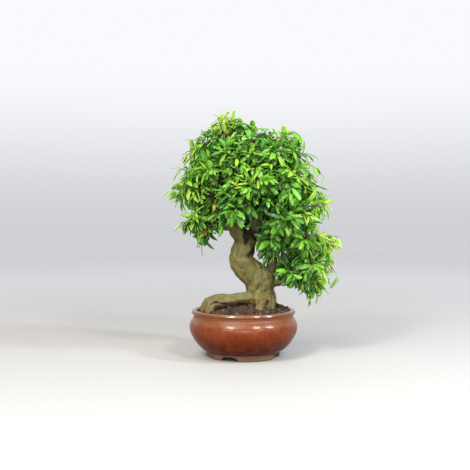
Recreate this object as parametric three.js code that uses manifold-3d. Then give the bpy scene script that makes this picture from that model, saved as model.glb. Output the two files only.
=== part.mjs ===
// A pomegranate bonsai: a twisted trunk on raised roots, its limbs and leafy shoots, in a round glazed pot.
// Millimetres, +Z up. The viewer stands at -Y and has +X to the right. The pot's axis is x = y = 0 while it
// is built up; the finished group is shifted so that its origin is the middle of the plant's footprint.
import * as THREE from "three";
import { mergeVertices } from "three/addons/utils/BufferGeometryUtils.js";
import Module from "manifold-3d";

const wasm = await Module();
wasm.setup();

// ---------------------------------------------------------------- driving dimensions

const GAP = 0.35; // between touching pieces
const SEED = 20;

const POT = {
  belly: 98.2, // outer radius at the widest level
  bellyLevel: 55,
  height: 84.8,
  rim: 94.3, // outer radius of the rolled rim
  mouth: 85.2, // radius of the opening
  neck: 89.8, // outer radius under the rim
  foot: 65.5, // outer radius of the foot ring
  footInner: 57,
  footHeight: 10,
  floorUnder: 8.5, // level of the floor's underside
  floorTop: 15,
  wall: 6.5,
  drain: 9, // radius of the drain hole
  segments: 28,
  arches: 4, // cut-outs in the foot ring
  archHalfWidth: 16.3,
  archRise: 7.6,
  firstArch: -23.4, // degrees from the viewer's side towards +X
};

const SCREEN = { side: 34, thick: 1.5, bar: 2.6, cells: 3 }; // the mesh over the drain hole

const SOIL = {
  edgeLevel: 80.5, // where it meets the wall
  crownLevel: 92, // under the trunk
  crownX: 12,
  crownSpread: 52,
  crumb: 0.9, // height of the surface's unevenness
  rings: [20, 38, 56, 72], // radii of the rings of its surface
};

const LEAF = {
  length: 35,
  spread: 0.16, // share by which lengths differ
  width: 12.5,
  thick: 0.75,
  curl: 0.8, // radians that a blade turns down from stalk to tip
  droop: 0.2,
  stations: [[0.34, 1], [0.7, 0.84]], // shares of the length, and of the full width there
};

const SHOOT = {
  count: 52,
  root: 1.7, // radius where it leaves the wood
  tip: 1.1,
  climb: 12, // how far below its tip it looks for a limb
  shortest: 21, // from the limb to its tip
  apart: 7, // between the starts of two stems
  bow: 0.08,
  shell: 0.86, // tips lie no deeper than this in any pad
  draws: 160, // places that each tip is chosen from
  whorls: [15, 0], // how far back from the stem's end the whorls of leaves stand
  cushion: 1.8, // height of a whorl's faces on the stem
  rolls: 4, // angles that a shoot is tried at
  endLift: 0.8, // radians by which the leaf at a stem's end leans less
};

const COLOURS = { glaze: 0x8a3a22, screen: 0x26282a, soil: 0x3d2a24, wood: 0x8d8156, leaf: 0x3f8a1c };

// ---------------------------------------------------------------- the plant's framework
// Each station is x, y, z and the radius there.

const TRUNK = [
  [41, 3, 76, 15],
  [37, 3, 91, 21],
  [30, 2, 106, 25.5],
  [25, 0, 123, 22],
  [21, -2, 138, 20],
  [10, -4, 152, 21],
  [0, -4, 166, 22],
  [-4, -3, 180, 21.2],
  [1, -1, 193, 22],
  [5.5, 1, 205, 20.5],
  [-0.5, 3, 217, 17.5],
  [-12, 4, 227, 14],
  [-18, 4, 240, 10.8],
  [-19, 4, 256, 9.4],
  [-18, 4, 285, 8.6],
  [-14, 5, 315, 7.4],
  [-19, 2, 345, 6],
  [-27, 0, 375, 4.6],
  [-33, -2, 404, 3],
];

const SHOULDER = [
  [36, 0, 92, 20],
  [37, -3, 116, 19],
  [37, -5, 136, 17.5],
  [31, -5, 153, 14.5],
  [22, -5, 166, 9.5],
  [8, -4, 179, 5],
];

const SECOND_STEM = [
  [5, 4, 202, 15],
  [17, 8, 219, 12.5],
  [23, 10, 240, 10.5],
  [32, 8, 268, 9],
  [45, 6, 295, 7.4],
  [58, 4, 325, 5.6],
  [66, 2, 352, 4.2],
  [72, 0, 378, 2.8],
];

const SIDE_STEM = [
  [38, 3, 98, 13],
  [44, 3, 119, 12],
  [48, 4, 140, 10],
  [51, 5, 158, 8],
  [52.5, 6, 174, 7],
  [55, 6, 190, 6.6],
  [62, 7, 208, 6.2],
  [76, 8, 228, 5.6],
  [92, 6, 250, 4.6],
  [104, 4, 270, 3.2],
];

const LOW_LIMB = [
  [46, 2, 130, 9],
  [62, 0, 133, 6.6],
  [79, -2, 136, 5.6],
  [95, -3, 145, 4.8],
  [110, -4, 158, 4],
  [124, -4, 170, 2.8],
];

const ROOTS = [
  // The raised root to the left, over the soil, and the fork at its end.
  [
    [32, 0, 108, 16],
    [8, -8, 106.5, 12.5],
    [-14, -13, 105, 9.8],
    [-38, -16, 106.5, 9],
    [-56, -17, 105, 8.8],
    [-67, -17, 97, 8.6],
    [-71.5, -16, 86, 8],
    [-72, -15, 72, 6.5],
  ],
  [
    [-8, -14, 103, 6.5],
    [-28, -20, 101.5, 7.4],
    [-44, -25, 100.5, 7.6],
    [-55, -30, 96.5, 8],
    [-61, -34, 87, 8.2],
    [-62, -36, 72, 7.6],
  ],
  // The front root and the buttress to the right.
  [
    [36, -4, 108, 14],
    [33, -17, 100, 12],
    [30, -27, 92, 10],
    [28, -34, 81, 9],
    [27, -38, 68, 7.5],
  ],
  [
    [44, 0, 122, 9],
    [49, -5, 109, 11.5],
    [48, -11, 97, 11.5],
    [46, -17, 84, 9.5],
    [45, -19, 68, 8],
  ],
  // Three roots behind.
  [
    [32, 10, 102, 15],
    [28, 32, 94, 10],
    [22, 48, 83, 7.4],
    [18, 57, 70, 5.6],
  ],
  [
    [44, 8, 102, 13],
    [54, 24, 93, 8.4],
    [60, 36, 82, 6.6],
    [63, 43, 70, 5.2],
  ],
  [
    [16, 4, 104, 12],
    [-8, 18, 97, 8.6],
    [-27, 31, 88, 7],
    [-39, 40, 73, 5.4],
  ],
];

// The crown is a set of rounded pads. Each has a limb of its own or, for the first four, the end of a stem.
const PADS = [
  { stem: TRUNK.slice(-6), centre: [-28, 0, 385], reach: [54, 46, 48] },
  { stem: SECOND_STEM.slice(-5), centre: [66, 0, 362], reach: [42, 46, 44] },
  { stem: SIDE_STEM.slice(-5), centre: [104, 2, 272], reach: [42, 44, 38] },
  { stem: LOW_LIMB.slice(-5), centre: [112, -4, 158], reach: [46, 38, 42] },
  {
    limb: [[-14, 4, 236, 7], [-34, 0, 231, 4.6], [-56, -4, 235, 3.8], [-76, -7, 240, 2.8]],
    centre: [-80, -7, 238], reach: [30, 26, 26],
  },
  {
    limb: [[-18, 3, 262, 8], [-38, 2, 275, 6], [-60, 1, 287, 4.6], [-80, 0, 296, 3]],
    centre: [-84, 0, 300], reach: [40, 42, 40],
  },
  {
    limb: [[-16, 5, 298, 7], [-36, 7, 320, 5.2], [-55, 7, 336, 4], [-68, 5, 347, 2.8]],
    centre: [-68, 4, 346], reach: [42, 44, 42],
  },
  {
    limb: [[-15, 5, 312, 6.5], [-6, -14, 323, 5], [4, -30, 334, 4], [10, -40, 343, 2.8]],
    centre: [8, -36, 342], reach: [52, 36, 44],
  },
  {
    limb: [[-15, 5, 310, 6.5], [-12, 26, 320, 5], [-7, 44, 331, 3.8], [-3, 56, 340, 2.8]],
    centre: [0, 48, 342], reach: [52, 36, 44],
  },
  {
    limb: [[25, 9, 250, 8.5], [17, -10, 263, 6], [7, -28, 277, 4.6], [0, -42, 289, 3]],
    centre: [-6, -40, 290], reach: [50, 36, 38],
  },
  {
    limb: [[38, 7, 283, 7], [46, 27, 289, 5.2], [53, 45, 294, 4], [58, 58, 298, 2.8]],
    centre: [52, 50, 298], reach: [48, 36, 40],
  },
  {
    limb: [[48, 6, 303, 6.5], [68, 3, 308, 5], [88, 1, 310, 4], [104, -1, 309, 2.8]],
    centre: [92, -2, 316], reach: [36, 44, 34],
  },
  {
    limb: [[56, 7, 196, 7], [64, -10, 214, 5.2], [70, -24, 230, 4], [74, -34, 241, 2.8]],
    centre: [70, -28, 244], reach: [44, 36, 40],
  },
  {
    limb: [[74, 8, 226, 5.6], [94, 3, 221, 4.6], [114, 0, 216, 3.8], [132, -2, 213, 2.8]],
    centre: [124, -2, 208], reach: [38, 42, 34],
  },
  {
    limb: [[66, 8, 212, 6.4], [78, 26, 223, 4.8], [88, 41, 232, 3.8], [95, 52, 238, 2.8]],
    centre: [86, 44, 238], reach: [44, 34, 42],
  },
  {
    limb: [[-19, 4, 262, 8], [-32, 24, 275, 5.4], [-44, 42, 287, 4], [-52, 54, 297, 2.8]],
    centre: [-48, 46, 296], reach: [46, 36, 40],
  },
  {
    limb: [[48, 6, 301, 6.5], [38, 2, 326, 5], [29, -2, 349, 4], [23, -5, 372, 2.8]],
    centre: [22, -4, 380], reach: [46, 42, 34],
  },
];

const CROWN_CENTRE = [15, 0, 285];

// Tips of the shoots that lead the stems on.
const LEADERS = [[-36, -3, 422], [72, -2, 394], [-110, -4, 288], [148, -4, 206], [128, -6, 126]];

// Hollows inside the crown, where no shoot ends.
const HOLLOWS = [
  { centre: [5, 0, 310], reach: [70, 40, 75] },
  { centre: [55, 0, 235], reach: [60, 28, 42] },
  { centre: [90, 0, 190], reach: [36, 24, 40] },
];

// ---------------------------------------------------------------- helpers

const TURN = 2 * Math.PI;
const UP = new THREE.Vector3(0, 0, 1);

// A repeatable run of numbers from 0 to 1 (mulberry32).
function draws(seed) {
  let state = seed;
  return () => {
    state = (state + 0x6d2b79f5) | 0;
    let t = Math.imul(state ^ (state >>> 15), state | 1);
    t ^= t + Math.imul(t ^ (t >>> 7), t | 61);
    return ((t ^ (t >>> 14)) >>> 0) / 4294967296;
  };
}

function vector([x, y, z]) {
  return new THREE.Vector3(x, y, z);
}

// A closed three.js geometry as a solid that can be joined and cut.
function solidOf(geometry) {
  geometry.deleteAttribute("normal");
  geometry.deleteAttribute("uv");
  const merged = mergeVertices(geometry, 1e-4);
  const mesh = new wasm.Mesh({
    numProp: 3,
    vertProperties: merged.attributes.position.array,
    triVerts: new Uint32Array(merged.index.array),
  });
  return new wasm.Manifold(mesh);
}

function geometryOf(solid) {
  const made = solid.getMesh();
  return new THREE.BufferGeometry()
    .setAttribute("position", new THREE.BufferAttribute(new Float32Array(made.vertProperties), 3))
    .setIndex(new THREE.BufferAttribute(new Uint32Array(made.triVerts), 1));
}

function joined(solids) {
  return solids.reduce((all, one) => all.add(one));
}

// The largest of the bodies that a cut leaves.
function mainBody(solid) {
  return solid.decompose().reduce((best, body) => (body.volume() > best.volume() ? body : best));
}

function boxesMeet(a, b, margin) {
  return a.min.every((low, k) => low - margin <= b.max[k] && b.min[k] - margin <= a.max[k]);
}

function clearOf(solid, others) {
  const box = solid.boundingBox();
  const near = others.filter((other) => boxesMeet(box, other.boundingBox(), GAP));
  return near.every((other) => solid.minGap(other, 2 * GAP) > GAP);
}

// Whether a solid crosses none of the others, which it may touch.
function standsApart(solid, others) {
  return others.every((other) => solid.intersect(other).volume() < 1e-6);
}

// A smooth line through stations, with the radius as a second line beside it.
function lineThrough(stations) {
  const path = new THREE.CatmullRomCurve3(stations.map(vector), false, "catmullrom", 0.5);
  const radii = stations.map((station) => new THREE.Vector3(station[3], 0, 0));
  const girth = new THREE.CatmullRomCurve3(radii, false, "catmullrom", 0.5);
  return {
    at: (t) => path.getPoint(t),
    heading: (t) => path.getTangent(t),
    radius: (t) => girth.getPoint(t).x,
  };
}

// A closed cylinder bent along a line. It takes the line's radius, and lobes that wind round it flute it.
function bent(stations, sides, rings, { lobes = 0, flute = 0, wind = 0, grow = 0 } = {}) {
  const line = lineThrough(stations);
  const frames = [];
  let across = new THREE.Vector3(1, 0.2, 0.1);
  for (let ring = 0; ring <= rings; ring++) {
    const t = ring / rings;
    const along = line.heading(t);
    across = across.clone().addScaledVector(along, -across.dot(along)).normalize();
    const beside = along.clone().cross(across);
    frames.push({ centre: line.at(t), across, beside, radius: line.radius(t) + grow });
  }
  const body = new THREE.CylinderGeometry(1, 1, 1, sides, rings);
  const place = body.attributes.position;
  for (let i = 0; i < place.count; i++) {
    const share = 0.5 - place.getY(i);
    const { centre, across: x, beside: y, radius } = frames[Math.round(share * rings)];
    const angle = Math.atan2(place.getZ(i), place.getX(i));
    const ridge = Math.cos(lobes * angle + wind * share) + 0.5 * Math.cos(2 * angle - 2 * wind * share);
    const reach = radius * (1 + flute * ridge);
    const point = centre.clone()
      .addScaledVector(x, place.getX(i) * reach)
      .addScaledVector(y, place.getZ(i) * reach);
    place.setXYZ(i, point.x, point.y, point.z);
  }
  return solidOf(body);
}

// A closed profile of [radius, level] pairs turned about the pot's axis.
function turned(profile) {
  const points = profile.map(([radius, level]) => new THREE.Vector2(radius, level));
  return new THREE.LatheGeometry(points, POT.segments).rotateX(Math.PI / 2);
}

// ---------------------------------------------------------------- pot, screen and soil

// The outside of the pot from the foot to the neck.
function bellyProfile() {
  const through = [
    [POT.foot + 1.5, POT.footHeight], [75.5, 14.6], [86.2, 26.4], [93.6, 38],
    [97.4, 47], [POT.belly, POT.bellyLevel], [96.4, 63], [POT.neck, 73],
  ];
  const curve = new THREE.SplineCurve(through.map(([radius, level]) => new THREE.Vector2(radius, level)));
  return curve.getPoints(7).map((point) => [point.x, point.y]);
}

// The inside from the mouth down to the floor's edge.
function innerProfile() {
  return [
    [POT.mouth, POT.height - 3], [POT.neck - 2, 70], [POT.belly - POT.wall, POT.bellyLevel],
    [87.5, 38], [78, 24], [66, POT.floorTop + 1],
  ];
}

function pot() {
  const foot = [
    [POT.drain, POT.floorUnder], [POT.footInner, POT.floorUnder - 1],
    [POT.footInner + 0.5, 0], [POT.foot - 1, 0], [POT.foot, 1],
  ];
  const rim = [
    [POT.neck + 0.6, 76], [POT.rim - 0.8, 77.6], [POT.rim, 81], [POT.rim - 2, POT.height - 0.4],
    [POT.rim - 5.5, POT.height],
  ];
  const floor = [[60, POT.floorTop], [POT.drain, POT.floorTop]];
  const outline = [...foot, ...bellyProfile(), ...rim, ...innerProfile(), ...floor];
  const body = solidOf(turned([...outline, outline[0]]));
  return Array.from({ length: POT.arches }, archCutter).reduce((rest, cutter) => rest.subtract(cutter), body);
}

// An elliptic bar across the foot ring, one for each arch.
function archCutter(_, index) {
  const bearing = THREE.MathUtils.degToRad(POT.firstArch) + (index * TURN) / POT.arches;
  const bar = new THREE.CylinderGeometry(1, 1, POT.foot - POT.footInner + 12, 12)
    .scale(POT.archHalfWidth, 1, POT.archRise)
    .translate(0, -(POT.foot + POT.footInner) / 2, 0)
    .rotateZ(bearing);
  return solidOf(bar);
}

function screen() {
  const { side, thick, bar, cells } = SCREEN;
  const level = POT.floorTop + GAP + thick / 2;
  const plate = solidOf(new THREE.BoxGeometry(side, side, thick).translate(0, 0, level));
  const pitch = (side - bar) / cells;
  const holes = [];
  for (let i = 0; i < cells; i++) {
    for (let j = 0; j < cells; j++) {
      const x = (i - (cells - 1) / 2) * pitch;
      const y = (j - (cells - 1) / 2) * pitch;
      const hole = new THREE.BoxGeometry(pitch - bar, pitch - bar, 3 * thick);
      holes.push(solidOf(hole.translate(x, y, level)));
    }
  }
  return plate.subtract(joined(holes));
}

// The soil's level at a place: a low mound under the trunk, with an uneven surface.
function soilLevel(x, y) {
  const away = Math.hypot(x - SOIL.crownX, y) / SOIL.crownSpread;
  const mound = (SOIL.crownLevel - SOIL.edgeLevel) * Math.exp(-away * away);
  const crumb = Math.sin(x * 0.83 + 2 * Math.sin(y * 0.31)) * Math.sin(y * 0.77 + 1.7 * Math.sin(x * 0.27));
  return SOIL.edgeLevel + mound + SOIL.crumb * crumb;
}

function soil(woodClearance) {
  const wall = innerProfile().slice(1).reverse().map(([radius, level]) => [radius - 1.5 * GAP, level + GAP]);
  const edge = [POT.mouth - 1.5 * GAP, SOIL.edgeLevel];
  const surface = [...SOIL.rings].reverse().map((radius) => [radius, SOIL.edgeLevel]);
  const bottom = POT.floorTop + GAP;
  const lump = turned([[0, bottom], [60, bottom], ...wall, edge, ...surface, [0, SOIL.edgeLevel]]);
  const place = lump.attributes.position;
  for (let i = 0; i < place.count; i++) {
    if (place.getZ(i) > SOIL.edgeLevel - 1e-3) place.setZ(i, soilLevel(place.getX(i), place.getY(i)));
  }
  const pocket = SCREEN.side + 2 * GAP;
  const recess = new THREE.BoxGeometry(pocket, pocket, 2 * (SCREEN.thick + 2 * GAP));
  recess.translate(0, 0, POT.floorTop);
  return mainBody(solidOf(lump).subtract(solidOf(recess)).subtract(woodClearance));
}

// ---------------------------------------------------------------- wood

// Trunk, roots and limbs, grown as one piece. A grow above 0 gives the room that neighbours keep clear of.
function wood(grow) {
  const stems = [
    bent(TRUNK, 12, 26, { lobes: 3, flute: 0.06, wind: 9, grow }),
    bent(SHOULDER, 9, 6, { lobes: 3, flute: 0.04, wind: 2, grow }),
    bent(SECOND_STEM, 8, 10, { lobes: 3, flute: 0.05, wind: 5, grow }),
    bent(SIDE_STEM, 8, 12, { lobes: 3, flute: 0.06, wind: 4, grow }),
    bent(LOW_LIMB, 6, 7, { grow }),
  ];
  const roots = ROOTS.map((root) => bent(root, 7, 6, { lobes: 2, flute: 0.05, wind: 2, grow }));
  const limbs = PADS.filter((pad) => pad.limb).map((pad) => bent(pad.limb, 5, 4, { grow }));
  return mainBody(joined([...stems, ...roots, ...limbs]));
}

// ---------------------------------------------------------------- a leafy shoot
// A shoot is one skin: a square stem with two whorls of four leaves and a leaf at its end, each leaf drawn
// out of a small face of the stem. A loop is four corners, anticlockwise from the end of what they bound.

// Lays faces between two loops. The first and third sides, which are a blade's two faces, are split alike.
function bridge(faces, lower, upper) {
  for (let k = 0; k < 4; k++) {
    const [a, b, c, d] = [lower[k], lower[(k + 1) % 4], upper[(k + 1) % 4], upper[k]];
    if (k === 2) faces.push([a, b, d], [b, c, d]);
    else faces.push([a, b, c], [a, c, d]);
  }
}

function cap(faces, loop) {
  faces.push([loop[0], loop[1], loop[2]], [loop[0], loop[2], loop[3]]);
}

function solidFrom(faces) {
  return solidOf(new THREE.BufferGeometry().setFromPoints(faces.flat()));
}

// The loop round a blade at a share of its length, where it has turned down by its curl so far.
function bladeLoop({ base, along, up, length, width, thick }, share, breadth) {
  const turn = LEAF.curl * share;
  const spine = base.clone()
    .addScaledVector(along, (length * Math.sin(turn)) / LEAF.curl)
    .addScaledVector(up, (-length * (1 - Math.cos(turn))) / LEAF.curl);
  const side = along.clone().cross(up).multiplyScalar((breadth * width) / 2);
  const lift = up.clone().multiplyScalar(Math.cos(turn)).addScaledVector(along, Math.sin(turn));
  lift.multiplyScalar(thick / 2);
  return [[-1, 1], [1, 1], [1, -1], [-1, -1]].map(([hand, face]) =>
    spine.clone().addScaledVector(side, hand).addScaledVector(lift, face));
}

// A blade's faces, from its root's loop on the stem to its pointed tip.
function bladeFaces(leaf, root) {
  const loops = LEAF.stations.map(([share, breadth]) => bladeLoop(leaf, share, breadth));
  const shifts = [0, 1, 2, 3].map((m) => root.map((_, k) => root[(k + m) % 4]));
  const twist = (loop) => loop.reduce((sum, corner, k) => sum + corner.distanceToSquared(loops[0][k]), 0);
  loops.unshift(shifts.reduce((best, one) => (twist(one) < twist(best) ? one : best)));
  const faces = [];
  for (let i = 0; i + 1 < loops.length; i++) bridge(faces, loops[i], loops[i + 1]);
  const last = loops.at(-1);
  const tip = bladeLoop(leaf, 1, 0)[0];
  last.forEach((corner, k) => faces.push([corner, last[(k + 1) % 4], tip]));
  return faces;
}

// A blade closed over its root, for the tests of what it meets.
function closedBlade(leaf, root) {
  const faces = bladeFaces(leaf, root);
  cap(faces, [root[0], root[3], root[2], root[1]]);
  return solidFrom(faces);
}

// Whether a blade's first loop lies wholly in front of the face it grows from, so that the blade can't fold
// back through its own root.
function growsOutward(root, leaf) {
  const face = new THREE.Plane().setFromCoplanarPoints(root[0], root[1], root[2]);
  return bladeLoop(leaf, ...LEAF.stations[0]).every((corner) => face.distanceToPoint(corner) > LEAF.thick);
}

// A leaf on a face of the stem. It leans away from the stem by lean and is swung round it by swing, in
// radians, and its upper side looks up and out of the crown.
function leafOn(root, heading, size, swing, lean) {
  const base = root.reduce((sum, corner) => sum.add(corner), new THREE.Vector3()).multiplyScalar(0.25);
  const outward = root[1].clone().sub(root[0]).cross(root[3].clone().sub(root[0])).normalize();
  if (outward.dot(heading) > 0.9) outward.crossVectors(heading, UP).applyAxisAngle(heading, 1.2).normalize();
  outward.applyAxisAngle(heading, swing);
  const along = heading.clone().multiplyScalar(Math.cos(lean)).addScaledVector(outward, Math.sin(lean));
  along.addScaledVector(UP, -LEAF.droop).normalize();
  const up = base.clone().sub(vector(CROWN_CENTRE)).normalize().add(UP);
  up.addScaledVector(along, -up.dot(along)).normalize();
  return { base, along, up, length: LEAF.length * size, width: LEAF.width * size, thick: LEAF.thick };
}

// The swings and leans that are tried in order until a leaf stands clear.
const POSES = [
  [0, 1], [0.35, 0.9], [-0.35, 0.9], [0, 0.6], [0, 1.35], [0.5, 0.6], [-0.5, 0.6], [0.6, 1.3], [-0.6, 1.3],
];

// The loops round a stem: at its start, and below and above each whorl.
function stemLoops(stations, roll) {
  const line = lineThrough(stations);
  const length = vector(stations[0]).distanceTo(vector(stations[2]));
  const level = Math.abs(line.heading(0.6).z) > 0.8 ? new THREE.Vector3(1, 0, 0) : UP;
  const backs = SHOOT.whorls.flatMap((back) => [back + SHOOT.cushion, back]);
  return [0, ...backs.map((back) => 1 - back / length)].map((t) => {
    const along = line.heading(t);
    const across = new THREE.Vector3().crossVectors(along, level).normalize().applyAxisAngle(along, roll);
    return [0, 1, 2, 3].map((k) => {
      const spoke = across.clone().applyAxisAngle(along, (k * Math.PI) / 2);
      return line.at(t).addScaledVector(spoke, line.radius(t));
    });
  });
}

// A shoot at one roll, with each leaf that stands clear of the wood, its own stem, the pot and other shoots.
function shootAt(stations, roll, random, woodClearance, others) {
  const loops = stemLoops(stations, roll);
  const heading = vector(stations[2]).sub(vector(stations[1])).normalize();
  const faces = [];
  const roots = [];
  cap(faces, [...loops[0]].reverse());
  for (let i = 0; i + 1 < loops.length; i++) {
    for (let k = 0; k < 4; k++) {
      const side = [loops[i][k], loops[i][(k + 1) % 4], loops[i + 1][(k + 1) % 4], loops[i + 1][k]];
      if (i % 2) roots.push(side);
      else cap(faces, side);
    }
  }
  roots.push(loops.at(-1));
  const bare = [...faces];
  roots.forEach((root) => cap(bare, root));
  const stem = solidFrom(bare);
  const box = stem.boundingBox();
  const near = others.filter((other) => boxesMeet(box, other.boundingBox(), 1.5 * LEAF.length));
  const blades = [];
  for (const root of roots) {
    const size = 1 + LEAF.spread * (2 * random() - 1);
    const lift = root === roots.at(-1) ? SHOOT.endLift : 0;
    const leaves = POSES.map(([swing, lean]) => leafOn(root, heading, size, swing, lean - lift));
    const grown = leaves.filter((leaf) => growsOutward(root, leaf)).find((leaf) => {
      const thicker = closedBlade({ ...leaf, thick: leaf.thick + 2 * GAP }, root);
      return clearOf(closedBlade(leaf, root), near) && standsApart(thicker, [...blades, stem, woodClearance]);
    });
    if (grown) {
      blades.push(closedBlade(grown, root));
      faces.push(...bladeFaces(grown, root));
    } else {
      cap(faces, root);
    }
  }
  return { leaves: blades.length, faces };
}

// ---------------------------------------------------------------- the crown

// How deep a place lies in a pad or hollow: 0 at its centre and 1 on its outside.
function depthIn({ centre, reach }, place) {
  return Math.hypot(...place.toArray().map((value, k) => (value - centre[k]) / reach[k]));
}

// A place on a random pad's outside.
function placeOnCrown(random) {
  const { centre, reach } = PADS[Math.floor(random() * PADS.length)];
  const height = 2 * random() - 1;
  const bearing = TURN * random();
  const ring = Math.sqrt(1 - height * height);
  const unit = [ring * Math.cos(bearing), ring * Math.sin(bearing), height];
  return vector(unit.map((value, k) => centre[k] + value * reach[k]));
}

// The next shoot's tip: of many places on the crown's outside, the furthest from all tips so far.
function nextTip(tips, random) {
  const places = Array.from({ length: SHOOT.draws }, () => placeOnCrown(random))
    .filter((place) => PADS.every((pad) => depthIn(pad, place) > SHOOT.shell))
    .filter((place) => HOLLOWS.every((hollow) => depthIn(hollow, place) > 1));
  const room = (place) => Math.min(1e3, ...tips.map((tip) => tip.distanceTo(place)));
  return places.reduce((best, one) => (room(one) > room(best) ? one : best));
}

// The places on the outer three quarters of each limb that stems can start from.
function limbPlaces() {
  return PADS.flatMap(({ stem, limb }) => {
    const line = lineThrough(stem ?? limb);
    return Array.from({ length: 24 }, (_, n) => line.at(0.25 + 0.03 * n));
  });
}

// The stations of the stem that reaches a tip from the nearest free place that isn't too near, a little below
// it for choice.
function stemTo(tip, starts) {
  const below = tip.clone().addScaledVector(UP, -SHOOT.climb);
  const free = limbPlaces().filter((place) => place.distanceTo(tip) > SHOOT.shortest)
    .filter((place) => starts.every((start) => start.distanceTo(place) > SHOOT.apart));
  const start = free.reduce((best, one) => (one.distanceTo(below) < best.distanceTo(below) ? one : best));
  const middle = start.clone().lerp(tip, 0.5).addScaledVector(UP, SHOOT.bow * start.distanceTo(tip));
  return [
    [...start.toArray(), SHOOT.root],
    [...middle.toArray(), (SHOOT.root + SHOOT.tip) / 2],
    [...tip.toArray(), SHOOT.tip],
  ];
}

// Every shoot's stem, clear of the others, with the room it takes however it is rolled.
function growStems(random) {
  const stems = [];
  const starts = [];
  const tips = [];
  while (stems.length < SHOOT.count) {
    const tip = tips.length < LEADERS.length ? vector(LEADERS[tips.length]) : nextTip(tips, random);
    tips.push(tip);
    const stations = stemTo(tip, starts);
    const room = bent(stations, 4, 4, { grow: 0.5 * SHOOT.root });
    if (!clearOf(room, stems.map((stem) => stem.room))) continue;
    starts.push(vector(stations[0]));
    stems.push({ stations, room });
  }
  return stems;
}

// All stems stand before any leaf grows. Each shoot is tried at a few rolls, and the leafiest is kept.
function shoots(woodClearance, vessel) {
  const random = draws(SEED);
  const stems = growStems(random);
  const made = [];
  stems.forEach(({ stations }, i) => {
    const others = [vessel, ...made, ...stems.slice(i + 1).map(({ room }) => room)];
    const tries = Array.from({ length: SHOOT.rolls }, () =>
      shootAt(stations, TURN * random(), random, woodClearance, others));
    const best = tries.reduce((a, b) => (b.leaves > a.leaves ? b : a));
    made.push(mainBody(solidFrom(best.faces).subtract(woodClearance)));
  });
  return made;
}

// ---------------------------------------------------------------- the plant

function piece(name, solid, colour, roughness) {
  const material = new THREE.MeshStandardMaterial({ color: colour, roughness, metalness: 0 });
  const mesh = new THREE.Mesh(geometryOf(solid), material);
  mesh.name = name;
  return mesh;
}

const clearance = wood(GAP);
const vessel = pot();
const plant = new THREE.Group();
plant.add(piece("pot", vessel, COLOURS.glaze, 0.2));
plant.add(piece("drain_screen", screen(), COLOURS.screen, 0.6));
plant.add(piece("soil", soil(clearance), COLOURS.soil, 1));
plant.add(piece("trunk", wood(0), COLOURS.wood, 0.85));
shoots(clearance, vessel).forEach((solid, i) => {
  plant.add(piece("shoot_" + String(i + 1).padStart(2, "0"), solid, COLOURS.leaf, 0.45));
});

const middle = new THREE.Box3().setFromObject(plant).getCenter(new THREE.Vector3());
plant.position.set(-middle.x, -middle.y, 0);

export default plant;
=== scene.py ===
"""Dresses a pomegranate bonsai: its glazed pot, the soil, the twisted wood and some thousands of leaves."""
import math

import bmesh
import bpy
import numpy as np
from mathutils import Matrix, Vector, noise
from mathutils.bvhtree import BVHTree


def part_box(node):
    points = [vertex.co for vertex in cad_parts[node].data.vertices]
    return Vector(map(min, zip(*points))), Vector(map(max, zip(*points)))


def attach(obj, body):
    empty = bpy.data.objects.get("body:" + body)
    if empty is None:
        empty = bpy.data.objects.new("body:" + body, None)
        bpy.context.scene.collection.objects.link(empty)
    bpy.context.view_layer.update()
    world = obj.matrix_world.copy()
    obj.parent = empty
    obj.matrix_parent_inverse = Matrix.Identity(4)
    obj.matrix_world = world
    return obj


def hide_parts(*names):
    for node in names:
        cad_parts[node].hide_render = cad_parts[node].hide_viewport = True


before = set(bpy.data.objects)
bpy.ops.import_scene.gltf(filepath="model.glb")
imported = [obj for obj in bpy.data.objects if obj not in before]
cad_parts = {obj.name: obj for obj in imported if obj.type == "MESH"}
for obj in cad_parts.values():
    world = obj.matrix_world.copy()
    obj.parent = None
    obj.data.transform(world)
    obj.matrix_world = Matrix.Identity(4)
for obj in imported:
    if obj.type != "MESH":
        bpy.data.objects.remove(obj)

bl_info = {
    "name": "Pomegranate Bonsai",
    "version": (1, 0, 0),
    "blender": (4, 5, 0),
    "location": "3D View > Sidebar > Bonsai",
    "description": "Builds a small pomegranate tree in a round glazed pot",
    "category": "Add Mesh",
}

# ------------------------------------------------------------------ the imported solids

MM = 0.001
ROUND = 2 * math.pi
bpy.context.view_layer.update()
POT_LOW, POT_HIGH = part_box("pot")
AXIS_X = (POT_LOW.x + POT_HIGH.x) / 2
AXIS_Y = (POT_LOW.y + POT_HIGH.y) / 2
SHOOTS = sorted(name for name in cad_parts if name.startswith("shoot_"))
# The crown's middle and about half its width, depth and height, in metres.
CROWN_CENTRE = np.array([AXIS_X + 0.015, AXIS_Y, 0.285])
CROWN_REACH = [0.135, 0.095, 0.15]

# Shares of a blade's length at which the solids' blades have a loop of corners, and their curl in radians.
BLADE_LOOPS = (0.34, 0.7)
BLADE_CURL = 0.8

# The camera in millimetres: above the floor, in front of the pot's axis and to its left, and its tilt in
# degrees.
CAMERA_HEIGHT = 250.7
CAMERA_AWAY = 1360
CAMERA_LEFT = 15.3
CAMERA_TILT = 1.30


def at(x, y, z):
    """A place given in millimetres from the middle of the pot's foot, in the frame of the solids."""
    return Vector((AXIS_X + x * MM, AXIS_Y + y * MM, z * MM))


def on_circle(radius, bearing):
    """How far across and back a place on a circle is from the circle's middle."""
    return radius * math.cos(bearing), radius * math.sin(bearing)


def unit(vectors):
    return vectors / np.maximum(np.linalg.norm(vectors, axis=-1, keepdims=True), 1e-12)


def distances(places, place):
    return np.linalg.norm(places - place, axis=1)


def ramp(values, start, over, least=0, most=1):
    """Numbers that are 0 at the start and 1 further on, kept between the least and the most."""
    return np.clip((values - start) / over, least, most)


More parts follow.
